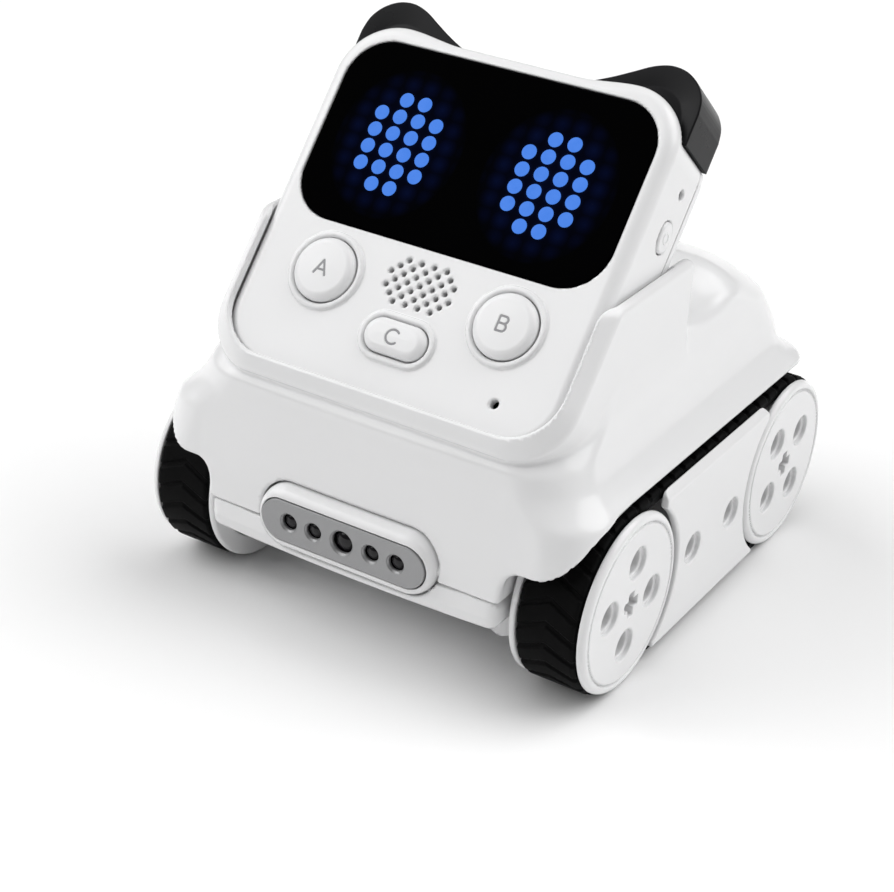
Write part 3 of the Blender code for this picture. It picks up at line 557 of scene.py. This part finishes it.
def ear_room(x, y):
    """What the head leaves free for an ear: everything outside its seat, above its foot."""
    seat = disc(x - (HEAD_HW - TOP_CORNER_R), y - (HEAD_CROWN - TOP_CORNER_R), 8.85)
    return smax(smax(-seat, EAR_FOOT - 0.12 - y, 0.2), 12.2 - x, 0.2)


def ear_field(side):
    """The ear's front is dished: its outer edge stands forward of its middle."""
    def field(x, y, z):
        outline = ear_outline(side * x, y)
        dish = EAR_FRONT - 0.2 - 1.1 * smooth(-1.0, 8.0, -outline)
        body = smax(outline, z - dish, 0.3)
        return smax(body, -HEAD_DEPTH + 0.2 - z, 1.6)
    return field


def grille(x, y):
    """Distance to the nearest of the staggered speaker holes."""
    nearest = None
    for row, count in zip(range(3, -4, -1), (4, 5, 6, 5, 6, 5, 4)):
        shift = (count - 1) / 2
        column = np.clip(np.round(x / GRILLE_PITCH + shift), 0, count - 1) - shift
        d = np.hypot(x - column * GRILLE_PITCH, y - GRILLE_V - row * GRILLE_PITCH / 2)
        nearest = d if nearest is None else np.minimum(nearest, d)
    return nearest


def key_outline(x, y, key):
    if key == "c":
        return rect(x, y - C_V, 6.2, 3.2, 3.2)
    return disc(x - (BUTTON_U if key == "b" else -BUTTON_U), y - BUTTON_V, BUTTON_R)


def all_keys(x, y):
    return np.minimum(disc(np.abs(x) - BUTTON_U, y - BUTTON_V, BUTTON_R), key_outline(x, y, "c"))


def power_outline(y, z):
    return corner(np.abs(y - POWER_V) - POWER_HL + POWER_R, np.abs(z - POWER_Z), POWER_R)


def head_block(x, y, z, front_round, back_round):
    outline = head_outline(x, y)
    front = corner(outline + front_round, z + front_round, front_round)
    back = corner(outline + back_round, -HEAD_DEPTH - z + back_round, back_round)
    return np.maximum(front, back)


def head_front(x, y, z):
    """The front shell: key rims, window recess, speaker and side holes, ports, ear seats, hollow back."""
    body = head_block(x, y, z, HEAD_ROUND, 1.5)
    keys = all_keys(x, y)
    ring = smax(np.abs(keys - 0.85) - 0.55, np.abs(z) - 0.62, 0.45)
    body = smin(body, ring, 0.35)
    body = smax(body, -(keys - KEY_GAP), 0.2)
    body = smax(body, -slab(rect(x, y - WINDOW_V, WINDOW_HW + 0.12, WINDOW_HH + 0.12, WINDOW_R + 0.12),
                            z, -1.8, 3.0, 0.1), 0.15)
    body = smax(body, -(grille(x, y) - GRILLE_HOLE_R), 0.25)
    body = smax(body, -disc(x - 22.2, y + 39.1, 0.85), 0.25)
    pill = power_outline(y, z)
    body = smax(body, -np.maximum(pill - 0.22, 31.0 - x), 0.3)
    body = smax(body, -np.maximum(disc(y - SIDE_HOLE_V, z - POWER_Z, SIDE_HOLE_R), 31.0 - x), 0.3)
    body = smax(body, -np.maximum(np.maximum(rect(y - 5.0, z + 10.9, 4.4, 1.6, 0.5), x + 33.0),
                                  -x - 60.0), 0.3)
    for centre, half in ((6.0, 4.2), (-6.0, 3.7)):
        port = np.maximum(rect(x - centre, z + 10.9, half, 1.7, 0.4), 16.0 - y)
        body = smax(body, -port, 0.3)
    body = smax(body, -np.maximum(rect(x, z + 9.0, 9.4, 2.9, 0.4), y + 39.5), 0.3)
    body = smax(body, -np.maximum(ear_room(np.abs(x), y), z - EAR_FRONT - 0.15), 0.3)
    hollow = slab(head_outline(x, y) + 3.6, z, -40.0, -2.1, 0.8)
    body = smax(body, -hollow, 0.3)
    return smax(body, HEAD_SPLIT + 0.04 - z, 0.12)


def head_rear(x, y, z):
    """The back cover, with screw wells and a panel line."""
    body = head_block(x, y, z, HEAD_ROUND, 1.5)
    body = smax(body, z - HEAD_SPLIT + 0.04, 0.12)
    body = smax(body, -np.maximum(ear_room(np.abs(x), y), z - EAR_FRONT), 0.3)
    body = smax(body, -slab(head_outline(x, y) + 3.6, z, HEAD_SPLIT - 0.8, 5.0, 0.2), 0.3)
    screws = np.minimum(disc(np.abs(x) - 30.9, y + 34.0, 2.6), disc(np.abs(x) - 30.9, y + 17.2, 2.6))
    body = smax(body, -np.maximum(screws, z + 16.6), 0.4)
    panel = rect(x, y + 12.0, 21.0, 22.0, 3.0)
    groove = np.maximum(np.abs(panel) - 0.3, z + HEAD_DEPTH - 0.5)
    return smax(body, -groove, 0.3)


def key_top(outline):
    """Height of a key's top, a little higher at its middle than at its edge."""
    return KEY_TOP - KEY_CROWN * smooth(0.0, BUTTON_R, BUTTON_R + outline)


def key_field(key):
    letter = {"a": letter_a, "b": letter_b, "c": letter_c}[key]

    def field(x, y, z):
        outline = key_outline(x, y, key)
        crown = key_top(outline)
        d = corner(outline + 1.5, z - crown + 1.5, 1.5)
        d = np.maximum(d, -4.4 - z)
        cx, cy = key_centre(key)
        return smax(d, -np.maximum(letter(x - cx, y - cy) - 0.2, crown - 0.16 - z), 0.1)
    return field


def key_centre(key):
    return (0.0, C_V) if key == "c" else ((BUTTON_U if key == "b" else -BUTTON_U), BUTTON_V)


def letter_a(x, y):
    d = np.minimum(segment(x, y, -1.15, -1.3, 0.0, 1.35), segment(x, y, 1.15, -1.3, 0.0, 1.35))
    return np.minimum(d, segment(x, y, -0.75, -0.45, 0.75, -0.45))


def letter_b(x, y):
    d = segment(x, y, -0.9, -1.35, -0.9, 1.35)
    for level, radius in ((0.7, 0.65), (-0.65, 0.7)):
        bowl = np.abs(np.hypot(np.maximum(x - 0.15, 0.0), y - level) - radius)
        arm = np.abs(np.abs(y - level) - radius)
        d = np.minimum(d, np.where(x > 0.15, bowl, np.where(x > -0.9, arm, 9.0)))
    return d


def letter_c(x, y):
    ring = np.abs(np.hypot(x, y) - 1.3)
    open_side = (x > 0.0) & (np.abs(y) < x)
    ends = np.minimum(np.hypot(x - 0.92, y - 0.92), np.hypot(x - 0.92, y + 0.92))
    return np.where(open_side, ends, ring)


def ink_field(key):
    """The letter, sunk a little in the key's top."""
    letter = {"a": letter_a, "b": letter_b, "c": letter_c}[key]

    def field(x, y, z):
        outline = key_outline(x, y, key)
        crown = key_top(outline)
        cx, cy = key_centre(key)
        d = smax(letter(x - cx, y - cy) - 0.22, z - crown + 0.07, 0.05)
        return np.maximum(d, crown - 0.35 - z)
    return field


def power_field(x, y, z):
    """The side key, its outer face along +x, with a ring and a bar standing on it."""
    pill = power_outline(y, z)
    d = corner(pill + 0.5, x - HEAD_HW - 0.3 + 0.5, 0.5)
    d = np.maximum(d, 32.0 - x)
    ring = np.abs(np.hypot(y - POWER_V, z - POWER_Z) - 0.95) - 0.16
    return smin(d, np.maximum(ring, np.abs(x - HEAD_HW - 0.2) - 0.22), 0.1)


def dial_field(x, y, z):
    """A knurled thumb wheel whose edge stands out of the head's side, dished on both faces."""
    u, v = x + DIAL_FROM_MIDDLE, y - DIAL_V
    r, turn = np.hypot(u, v), np.arctan2(v, u)
    teeth = 0.16 * (1 + np.cos(36 * turn))
    d = corner(r - DIAL_R + teeth + 0.35, np.abs(z - DIAL_Z) - DIAL_HALF + 0.35, 0.35)
    dish = np.maximum(np.abs(r - 4.2) - 1.9, 0.75 - np.abs(z - DIAL_Z))
    d = smax(d, -dish, 0.3)
    return smax(d, 1.45 - r, 0.15)


def hole_shade_plug(x, y, z):
    """A dark plug at the bottom of the small hole in the head's side: painted shade, standing in for the
    hole's dark inside.
    """
    return slab(disc(y - SIDE_HOLE_V, z - POWER_Z, SIDE_HOLE_R - 0.07), x, 31.3, 34.1, 0.1)


def build_head():
    piece = form("head_front_skin", head_front, (-35.2, -46.7, -15.4), (35.2, 23, 0.8), 0.4, FACE_FRAME)
    wear(piece, WHITE, "head", "gloss_white_shell", "head_front_shell")
    piece = form("head_rear_skin", head_rear, (-35.2, -46.7, -18.2), (35.2, 23, -15), 0.4, FACE_FRAME)
    wear(piece, WHITE, "head", "gloss_white_shell", "head_rear_shell")
    for side, name in ((1, "right"), (-1, "left")):
        low, high = (10.0, 14.0, -18.2), (35.4, 28.4, -3.0)
        if side < 0:
            low, high = (-high[0], low[1], low[2]), (-low[0], high[1], high[2])
        piece = form(f"ear_{name}_skin", ear_field(side), low, high, 0.2, FACE_FRAME)
        wear(piece, EAR_BLACK, "head", "black_soft", f"ear_{name}")
    for key in "abc":
        cx, cy = key_centre(key)
        low, high = (cx - 6.6, cy - 6.4, -4.6), (cx + 6.6, cy + 6.4, 2.2)
        piece = form(f"key_{key}_skin", key_field(key), low, high, 0.13, FACE_FRAME)
        wear(piece, KEY_WHITE, f"key_{key}", "satin_white_key", f"button_{key}")
        low, high = (cx - 1.8, cy - 1.8, 1.3), (cx + 1.8, cy + 1.8, 2.1)
        piece = form(f"key_{key}_ink", ink_field(key), low, high, 0.06, FACE_FRAME)
        wear(piece, MARK_GREY, f"key_{key}", "satin_white_key")
    piece = form("power_key_skin", power_field, (31.8, -4.2, -12.8), (35.6, 3.6, -7.8), 0.11, FACE_FRAME)
    wear(piece, KEY_WHITE, "power_key", "satin_white_key", "power_button")

    piece = form("side_dial_skin", dial_field, (-36.2, -3.0, -12.3), (-20.2, 13.0, -9.5), 0.14, FACE_FRAME)
    wear(piece, KEY_WHITE, "dial", "satin_white_key", "side_dial")
    # a dark plug in the side hole, painted shade for the hole's dark inside
    piece = form("side_hole_shade_plug", hole_shade_plug, (31.0, 6.4, -11.5), (34.4, 8.8, -9.1), 0.12, FACE_FRAME)
    wear(piece, DARK, "head", "black_soft")

    def pane(x, y, z):
        return slab(rect(x, y - WINDOW_V, WINDOW_HW, WINDOW_HH, WINDOW_R), z, -1.7, 0.0, 0.18)
    piece = form("window_skin", pane, (-32, -17, -1.8), (32, 18.6, 0.1), 0.4, FACE_FRAME)
    wear(piece, WINDOW, "head", "black_lens", "display_window")
    build_lamps()


def build_lamps():
    """Twenty lit lamps to each eye, as one low dome each."""
    points, faces = [], []
    sides, rings = 20, ((1.42, -0.05), (1.4, 0.035), (1.25, 0.055), (0.7, 0.065))
    for column in range(16):
        for row in range(8):
            across = min(abs(column - 3.5), abs(column - 11.5))
            if across > 2 or abs(row - 3.5) > (3 if across < 1 else 2):
                continue
            start = len(points)
            cu, cv = (column - 7.5) * LED_U, (row - 3.5) * LED_V
            for radius, height in rings:
                for i in range(sides):
                    angle = 2 * pi * i / sides
                    points.append((cu + radius * cos(angle), cv + radius * sin(angle), height))
            for ring in range(len(rings) - 1):
                for i in range(sides):
                    j = (i + 1) % sides
                    a, b = start + ring * sides, start + (ring + 1) * sides
                    faces.append((a + i, a + j, b + j, b + i))
            faces.append(tuple(start + (len(rings) - 1) * sides + i for i in range(sides)))
            faces.append(tuple(start + sides - 1 - i for i in range(sides)))
    piece = mesh_object("lit_lamps", points, faces, FACE_FRAME)
    wear(piece, LAMP, "head", "black_lens")


# ---------------------------------------------------------------- body shell

def face_y(z, depth):
    return FACE_Y + (z - FACE_Z) * np.tan(TILT) + depth / cos(TILT)


# the hull in level slices: height, half width, front y, rear y, front corner radius, rear corner radius
HULL = (
    (15.0, 45.6, -52.7, 46.8, 9.0, 6.0),
    (22.0, 45.6, -52.3, 47.2, 9.0, 6.0),
    (28.0, 45.6, -51.6, 47.6, 9.0, 6.0),
    (33.0, 45.6, -50.5, 47.9, 9.5, 6.0),
    (36.6, 45.2, -49.6, 47.7, 10.0, 10.0),
    (38.4, 43.2, -49.1, 45.2, 10.5, 11.0),
    (41.0, 41.0, -48.5, 44.5, 11.0, 11.5),
    (45.0, 39.3, -47.9, 45.3, 11.5, 12.0),
    (50.0, 37.9, face_y(50.0, 3.0), 44.0, 12.0, 14.0),
    (55.0, 36.8, face_y(55.0, 3.0), 37.6, 12.0, 17.0),
    (60.0, 36.3, face_y(60.0, 3.0), 27.3, 12.0, 19.0),
    (64.0, 36.0, face_y(64.0, 3.0), 17.0, 12.0, 19.0),
    (68.0, 35.8, face_y(68.0, 3.0), 4.5, 12.0, 16.0),
    (72.0, 35.6, face_y(72.0, 3.0), -14.0, 12.0, 12.0),
)


def hull_table():
    rows = np.array(HULL)
    heights = np.arange(10.0, 76.0, 0.25)
    table = np.stack([np.interp(heights, rows[:, 0], rows[:, i]) for i in range(1, 6)])
    kernel = np.hanning(15)
    kernel /= kernel.sum()
    pad = len(kernel) // 2
    table = np.stack([np.convolve(np.pad(row, pad, mode="edge"), kernel, "valid") for row in table])
    return heights, table, np.gradient(table, 0.25, axis=1)


HULL_Z, HULL_VALUES, HULL_SLOPES = hull_table()


def hull(x, y, z):
    """The smooth outside of the base, divided by its slope so that it stays near a true distance."""
    half, front, rear, front_r, rear_r = (np.interp(z, HULL_Z, row) for row in HULL_VALUES)
    d_half, d_front, d_rear = (np.interp(z, HULL_Z, row) for row in HULL_SLOPES[:3])
    middle = (front + rear) / 2
    forward = y < middle
    front = front + NOSE_BOW * np.minimum(np.abs(x), 34.0) ** 2
    r = np.where(forward, front_r, rear_r)
    qx = np.abs(x) - half + r
    qy = np.abs(y - middle) - (rear - front) / 2 + r
    px, py = np.maximum(qx, 0.0), np.maximum(qy, 0.0)
    reach = np.hypot(px, py)
    d = np.minimum(np.maximum(qx, qy), 0.0) + reach - r
    wx = np.where(reach > 0, px / np.maximum(reach, 1e-6), qx > qy)
    wy = np.where(reach > 0, py / np.maximum(reach, 1e-6), qx <= qy)
    slope = wx * np.abs(d_half) + wy * np.abs(np.where(forward, d_front, d_rear))
    return d / np.sqrt(1 + slope * slope)


def face_place(y, z):
    """Height up the face and distance out of it, for a point in the robot's axes."""
    dy, dz = y - FACE_Y, z - FACE_Z
    return dy * sin(TILT) + dz * cos(TILT), dz * sin(TILT) - dy * cos(TILT)


def head_room(x, up, out, grow):
    """The head's own shape grown a little, run up the face, with a mouth towards the front."""
    outline = corner(np.abs(x) - HEAD_HW + LOW_CORNER_R, HEAD_BOTTOM + LOW_CORNER_R - up, LOW_CORNER_R) - grow
    front = corner(outline + HEAD_ROUND, out - grow + HEAD_ROUND, HEAD_ROUND)
    block = np.maximum(front, -HEAD_DEPTH - grow - out)
    return np.minimum(block, np.maximum(mouth(x, up) + 0.5, -HEAD_ROUND - out))


def mouth(x, up):
    """The opening in the collar that the face shows through."""
    return corner(np.abs(x) - MOUTH_HW + MOUTH_R, MOUTH_BOTTOM + MOUTH_R - up, MOUTH_R)


def collar(x, y, z, up, out):
    """A band round the face: its crest stands proud at the opening and it slopes back to its outer edge."""
    inner = mouth(x, up)
    outer = corner(np.abs(x) - COLLAR_HW + COLLAR_R, COLLAR_BOTTOM + COLLAR_R - up, COLLAR_R)
    across = np.clip(inner / np.maximum(inner - outer, 0.5), 0.0, 1.0)
    across = np.clip((across - 0.15) / 0.85, 0.0, 1.0)
    top = COLLAR_PROUD - across * (1.1 + 1.2 * smooth(25.0, 36.0, np.abs(x)))
    d = smax(outer, (out - top) * 0.88, 0.6)
    d = smax(d, -inner, 0.9)
    d = smax(d, z - COLLAR_TOP_Z, 1.6)
    d = smax(d, y - CHEEK_BACK_Y, 1.0)
    return np.maximum(d, 44.0 - z)


ARCH = [(-53.0, 26.2), (-51.6, 26.9), (-49.9, 28.4), (-47.4, 30.8), (-44.3, 33.7), (-41.3, 35.3),
        (-36.5, 36.2), (-31.0, FENDER_Z), (60.0, FENDER_Z)]


def well(x, y, z, grow=0.0):
    """Room for a belt and its wheels. Its front rises from the notch beside the nose to the fender."""
    points = [(-60.0, -5.0), (-60.0, 26.0)] + ARCH + [(60.0, -5.0)]
    side = polygon(y, z, points) - grow
    return smax(TRAY_HW + GAP - grow - np.abs(x), side, 3.6)


def pod_room(x, y, z, grow):
    across = np.maximum(np.abs(x) - POD_HL + POD_R, 0.0)
    return np.sqrt(across ** 2 + (y + AXLE_Y - (AXLE_Y + POD_AXIS.y - MIDDLE_Y)) ** 2
                   + (z - POD_AXIS.z) ** 2) - POD_R - grow


def scoop(x, y, z):
    """A finger hollow behind each cheek, beside the back of the head."""
    ex, ey, ez = (np.abs(x) - 40.0) / 13.0, (y - 11.5) / 23.0, (z - 68.5) / 13.5
    length = np.sqrt(ex * ex + ey * ey + ez * ez)
    return (length - 1.0) * 13.0


def body_shell(x, y, z):
    """The moulded base: hull and collar, hollow inside, with room for the head, belts and pod."""
    up, out = face_place(y, z)
    outside = smax(hull(x, y, z), z - COLLAR_TOP_Z + 0.4, 1.0)
    outside = smax(outside, -np.maximum(scoop(x, y, z), CHEEK_BACK_Y - y), 2.0)
    whole = smin(outside, collar(x, y, z, up, out), 0.9)
    core = smax(outside + 2.2, 2.0 - head_room(x, up, out, 0.4), 1.0)
    core = smax(core, 2.0 - well(x, y, z), 1.0)
    core = np.maximum(core, z - 60.0)
    core = smax(core, 1.8 - pod_room(x, y, z, 0.3), 1.0)
    shell = smax(whole, -core, 0.4)
    shell = smax(shell, -well(x, y, z), 1.0)
    shell = smax(shell, SEAM_Z - z, 0.25)
    shell = smax(shell, -head_room(x, up, out, 0.3), 0.25)
    return smax(shell, -pod_room(x, y, z, 0.35), 0.6)


def build_body():
    piece = form("body_shell_skin", body_shell, (-46, -53.2, 21.3), (46, 49, 70.6), 0.58, ROBOT_FRAME)
    wear(piece, WHITE, "chassis", "gloss_white_shell", "body_shell")


# ---------------------------------------------------------------- base

def tray(x, y, z):
    """The tub under the seam, with screw posts, axle holes and a slot for the sensor pod."""
    top = SEAM_Z - GAP
    side = [(-52.5, top), (-52.8, 18.0), (-52.4, 15.9), (-51.4, 15.2), (-43.5, 15.2), (-37.6, 8.4),
            (-35.0, 7.0), (41.0, 7.0), (44.4, 9.4), (46.2, 13.0), (47.0, top)]
    inner = [(-42.5, top + 9), (-42.5, 17.0), (-36.0, 9.2), (-34.6, 8.6), (40.6, 8.6), (43.5, 12.0),
             (45.0, top + 9)]
    d = polygon(y - np.where(y < -40.0, NOSE_BOW * x ** 2, 0.0), z, side)
    d = smax(d, np.abs(x) - TRAY_HW, 2.6)
    hollow = smax(polygon(y, z, inner), np.abs(x) - TRAY_HW + 2.0, 1.0)
    d = smax(d, -hollow, 0.3)
    posts = np.minimum(disc(np.abs(x) - 26.0, y + 38.0, 1.0), disc(np.abs(x) - 8.0, y - 34.0, 1.0))
    d = smin(d, np.maximum(np.maximum(posts - 2.2, z - top), 7.6 - z), 0.4)
    d = smax(d, -np.maximum(posts - 1.5, z - 9.0), 0.3)
    d = smax(d, -(posts - 0.4), 0.1)
    d = smax(d, -disc(np.abs(y) - AXLE_Y, z - AXLE_Z, 2.2), 0.2)
    d = smax(d, -np.maximum(rect(x, y + 49.05, 16.0, 2.55, 0.3), 10.0 - z), 0.2)
    return smax(d, -pod_room(x, y, z, 0.35), 0.5)


def belt(x, y, z):
    """A rubber belt with chevron bars standing on it."""
    ahead = np.clip(y, -AXLE_Y, AXLE_Y)
    r = np.hypot(y - ahead, z - AXLE_Z)
    turn = np.arctan2(np.abs(y - ahead), z - AXLE_Z)
    around = np.where(np.abs(y) <= AXLE_Y, np.where(z > AXLE_Z, y, 2 * AXLE_Y + pi * BELT_R - y),
                      np.sign(y) * (AXLE_Y + BELT_R * turn))
    pitch = (4 * AXLE_Y + 2 * pi * BELT_R) / BELT_BARS
    t = (around + 0.45 * np.abs(np.abs(x) - BELT_X)) / pitch
    groove = np.abs(t - np.round(t)) * pitch
    outer = BELT_R - 0.45 * (1 - smooth(0.28, 0.75, groove))
    d = corner(r - outer + 0.7, np.abs(np.abs(x) - BELT_X) - BELT_HALF + 0.7, 0.7)
    return np.maximum(d, BELT_R - 2.0 - r)


def pegs(u, w, turn):
    """Distance from the four peg holes' axes."""
    nearest = None
    for i in range(4):
        a = radians(turn) + i * pi / 2
        d = np.hypot(u - PEG_AT * cos(a), w - PEG_AT * sin(a))
        nearest = d if nearest is None else np.minimum(nearest, d)
    return nearest


def wheel_field(place_y, turn):
    """A spool: a stout outer disc with a rounded rim and a ring groove, and a thin flange inside the belt."""
    def field(x, y, z):
        t, u, w = np.abs(x), y - place_y, z - AXLE_Z
        r = np.hypot(u, w)
        plate = corner(r - WHEEL_R + 1.3, t - HUB_X + 1.3, 1.3)
        plate = smax(plate, RIM_OUT_X - t, 0.3)
        flange = corner(r - 17.2 + 0.5, np.abs(t - (RIM_IN_X + WHEEL_IN_X) / 2) - 0.65 + 0.5, 0.5)
        core = np.maximum(r - 15.2, np.abs(t - 39.3) - 6.6)
        d = np.minimum(np.minimum(plate, flange), core)
        ring = np.maximum(np.abs(r - 15.2) - 0.16, HUB_X - 0.35 - t)
        d = smax(d, -ring, 0.25)
        hollow = np.maximum(np.maximum(r - 13.4, 4.6 - r), t - 42.4)
        d = smax(d, -hollow, 0.4)
        holes = pegs(u, w, turn)
        d = smax(d, -(holes - PEG_R), 0.25)
        d = smax(d, -np.maximum(holes - PEG_MOUTH_R, HUB_X - 0.9 - t), 0.3)
        arms = np.minimum(rect(u, w, 2.45, 0.95, 0.2), rect(u, w, 0.95, 2.45, 0.2))
        d = smax(d, -np.maximum(arms, 41.5 - t), 0.25)
        return smax(d, -np.maximum(r - 2.05, t - 40.3), 0.2)
    return field


def side_plate(x, y, z):
    """The plate between the wheels, scooped round each, with a bevelled top."""
    t = np.abs(x)
    outline = smax(np.abs(z - 18.7) - 16.2, -disc(np.abs(y) - AXLE_Y, z - AXLE_Z, 18.0), 0.5)
    outline = np.maximum(outline, np.abs(y) - AXLE_Y + 7.0)
    bevel = (z - PLATE_TOP + t - HUB_X + 1.5) * 0.7071
    d = smax(smax(outline, t - HUB_X, 0.5), bevel, 0.3)
    d = smax(d, corner(np.abs(y) - 21.0 + 2.0, z - PLATE_TOP + 2.0, 2.0), 0.3)
    d = smax(d, RIM_OUT_X - t, 0.2)
    spine = np.maximum(rect(y, z - AXLE_Z, 12.0, 11.5, 2.0), np.abs(t - 38.6) - 7.3)
    d = np.minimum(d, spine)
    holes = np.hypot(np.abs(y) - PEG_AT, z - AXLE_Z)
    d = smax(d, -np.maximum(holes - PEG_R, 36.0 - t), 0.25)
    return smax(d, -np.maximum(holes - PEG_MOUTH_R, HUB_X - 0.9 - t), 0.3)


def build_running_gear():
    for side, name in ((1, "right"), (-1, "left")):
        def span(low, high):
            return (low, high) if side > 0 else (-high, -low)
        low_x, high_x = span(31.8, 47.1)
        for end, place_y, turn, body in (("front", -AXLE_Y, 82, f"front_idler_{name}"),
                                         ("rear", AXLE_Y, 127, f"rear_drive_{name}")):
            piece = form(f"wheel_{end}_{name}_skin", wheel_field(place_y, turn),
                         (low_x, place_y - 17.4, 0.1), (high_x, place_y + 17.4, 34.9), 0.3, ROBOT_FRAME)
            wear(piece, WHITE, body, "gloss_white_shell", f"wheel_{end}_{name}")
        low_x, high_x = span(33.4, 45.3)
        piece = form(f"belt_{name}_skin", belt, (low_x, -49.7, -0.2), (high_x, 49.7, 35.2), 0.36, ROBOT_FRAME)
        wear(piece, RUBBER, "chassis", "black_soft", f"track_{name}")
        low_x, high_x = span(31.2, 47.1)
        piece = form(f"side_plate_{name}_skin", side_plate, (low_x, -25.2, 2.2), (high_x, 25.2, 35.4), 0.32,
                     ROBOT_FRAME)
        wear(piece, WHITE, "chassis", "gloss_white_shell", f"side_plate_{name}")


# ---------------------------------------------------------------- sensor pod, in its pivot's axes (z forward)

POD_FRAME = Matrix.Translation(POD_AXIS * MM) @ Matrix.Rotation(pi / 2, 4, "X")
LENSES = ((-11.45, 1.55), (-6.15, 1.55), (0.0, 2.15), (6.15, 1.55), (11.45, 1.55))


def lens_distance(x, y):
    nearest = None
    for at, radius in LENSES:
        d = np.hypot(x - at, y) - radius
        nearest = d if nearest is None else np.minimum(nearest, d)
    return nearest


def pod(x, y, z):
    """A capsule on two stub pins, cut flat in front and sunk for its faceplate."""
    across = np.maximum(np.abs(x) - POD_HL + POD_R, 0.0)
    d = np.sqrt(across ** 2 + y ** 2 + z ** 2) - POD_R
    d = smax(d, z - POD_FACE, 1.2)
    d = np.minimum(d, np.maximum(disc(y, z, 1.2), np.abs(x) - 20.9))
    seat = slab(rect(x, y, 17.6, 4.3, 4.3), z, -2.9, 9.0, 0.2)
    return smax(d, -seat, 0.3)


def faceplate(x, y, z):
    d = slab(rect(x, y, 17.4, 4.1, 4.1), z, POD_FACE - 1.0, POD_FACE, 0.18)
    flare = lens_distance(x, y) - 0.32 * smooth(POD_FACE - 0.5, POD_FACE, z)
    return smax(d, -flare, 0.08)


def lens_bar(x, y, z):
    """One dark moulding with a dome behind each hole of the faceplate."""
    d = slab(rect(x, y, 15.4, 2.6, 2.6), z, 0.4, 1.9, 0.2)
    for at, radius in LENSES:
        ball = radius * 1.3
        dome = np.sqrt((x - at) ** 2 + y ** 2 + (z - POD_FACE + 0.45 + ball) ** 2) - ball
        d = np.minimum(d, smax(smax(np.hypot(x - at, y) - radius + 0.12, dome, 0.2), 1.4 - z, 0.1))
    return d


def build_pod():
    piece = form("sensor_pod_skin", pod, (-21, -6.3, -6.3), (21, 6.3, 3.5), 0.22, POD_FRAME)
    wear(piece, WHITE, "pod", "gloss_white_shell", "sensor_pod")
    piece = form("sensor_faceplate_skin", faceplate, (-17.6, -4.3, 2.2), (17.6, 4.3, 3.4), 0.13, POD_FRAME)
    wear(piece, PLATE_GREY, "pod", "grey_faceplate", "sensor_faceplate")
    piece = form("sensor_lens_skin", lens_bar, (-15.6, -2.8, 0.3), (15.6, 2.8, 3.0), 0.14, POD_FRAME)
    wear(piece, LENS, "pod", "black_lens", "sensor_lens_bar")


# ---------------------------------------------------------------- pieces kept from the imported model

KEPT = (
    (("axle", "motor", "screw", "usb"), STEEL),
    (("gear",), NYLON),
    (("board",), BOARD),
    (("battery",), CELL),
    (("infrared",), LENS),
)


def finish_kept():
    """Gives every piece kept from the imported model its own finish."""
    for name, node in frame["nodes"].items():
        if not node.hide_render:
            chosen = [material for words, material in KEPT if any(word in name for word in words)]
            node.data.materials.clear()
            node.data.materials.append((chosen + [DARK])[0])


build_head()
build_body()
tray_piece = form("tray_skin", tray, (-31.2, -53, 6.8), (31.2, 47.2, 21.4), 0.5, ROBOT_FRAME)
wear(tray_piece, WHITE, "chassis", "gloss_white_shell", "chassis_tray")
build_running_gear()
build_pod()
finish_kept()


# ---------------------------------------------------------------- stage

def look(at, place, roll=0.0):
    """A matrix at place that looks along -z towards at."""
    forward = (Vector(at) - Vector(place)).normalized()
    right = forward.cross(Vector((0, 0, 1))).normalized()
    up = right.cross(forward).normalized()
    x = right * cos(roll) + up * sin(roll)
    y = -right * sin(roll) + up * cos(roll)
    matrix = Matrix((x, y, -forward)).transposed().to_4x4()
    matrix.translation = Vector(place)
    return matrix


def soft_light(name, source, strength):
    """A wide soft light that comes from the direction source."""
    data = bpy.data.lights.new(name, "SUN")
    data.energy = strength
    data.angle = radians(50)
    made = bpy.data.objects.new(name, data)
    made.matrix_world = look((0, 0, 0), source)
    bpy.context.scene.collection.objects.link(made)


LIGHTS = (
    ("overhead", (0, 0.05, 1), 0.42),
    ("behind", (0.1, 0.8, 0.9), 0.22),
    ("behind_right", (0.6, 0.5, 0.8), 1.78),
    ("left", (-1, -0.1, 0.8), 1.06),
    ("front_left", (-0.8, -0.7, 0.9), 1.25),
    ("low_right", (1, 0, 0.2), 0.36),
)


def build_stage():
    size = 3.0
    points = [(-size, -size, 0), (size, -size, 0), (size, size, 0), (-size, size, 0)]
    floor = mesh_object("floor", np.array(points) / MM, [(0, 1, 2, 3)], Matrix.Identity(4))
    n = Nodes("pale_floor")
    n.set("Base Color", (0.9, 0.9, 0.9, 1.0))
    n.set("Roughness", 0.6)
    floor.data.materials.append(n.material)

    world = bpy.data.worlds.new("studio")
    world.use_nodes = True
    background = world.node_tree.nodes["Background"]
    background.inputs[0].default_value = (1.0, 1.0, 1.0, 1.0)
    nodes, links = world.node_tree.nodes, world.node_tree.links
    ray = nodes.new("ShaderNodeLightPath")
    strength = nodes.new("ShaderNodeMapRange")
    strength.inputs["To Min"].default_value = 0.15
    strength.inputs["To Max"].default_value = 1.0
    links.new(ray.outputs["Is Camera Ray"], strength.inputs["Value"])
    links.new(strength.outputs[0], background.inputs[1])
    bpy.context.scene.world = world
    for light in LIGHTS:
        soft_light(*light)

    data = bpy.data.cameras.new("camera")
    data.sensor_width = 36.0
    data.lens = 85.1
    camera = bpy.data.objects.new("camera", data)
    eye = Vector((178.79, -317.31 + MIDDLE_Y, 216.88)) * MM
    camera.matrix_world = look(eye + Vector((-0.45223, 0.75321, -0.47767)), eye, radians(3.31))
    bpy.context.scene.collection.objects.link(camera)
    bpy.context.scene.camera = camera
    bpy.context.scene.view_settings.view_transform = "Standard"


build_stage()
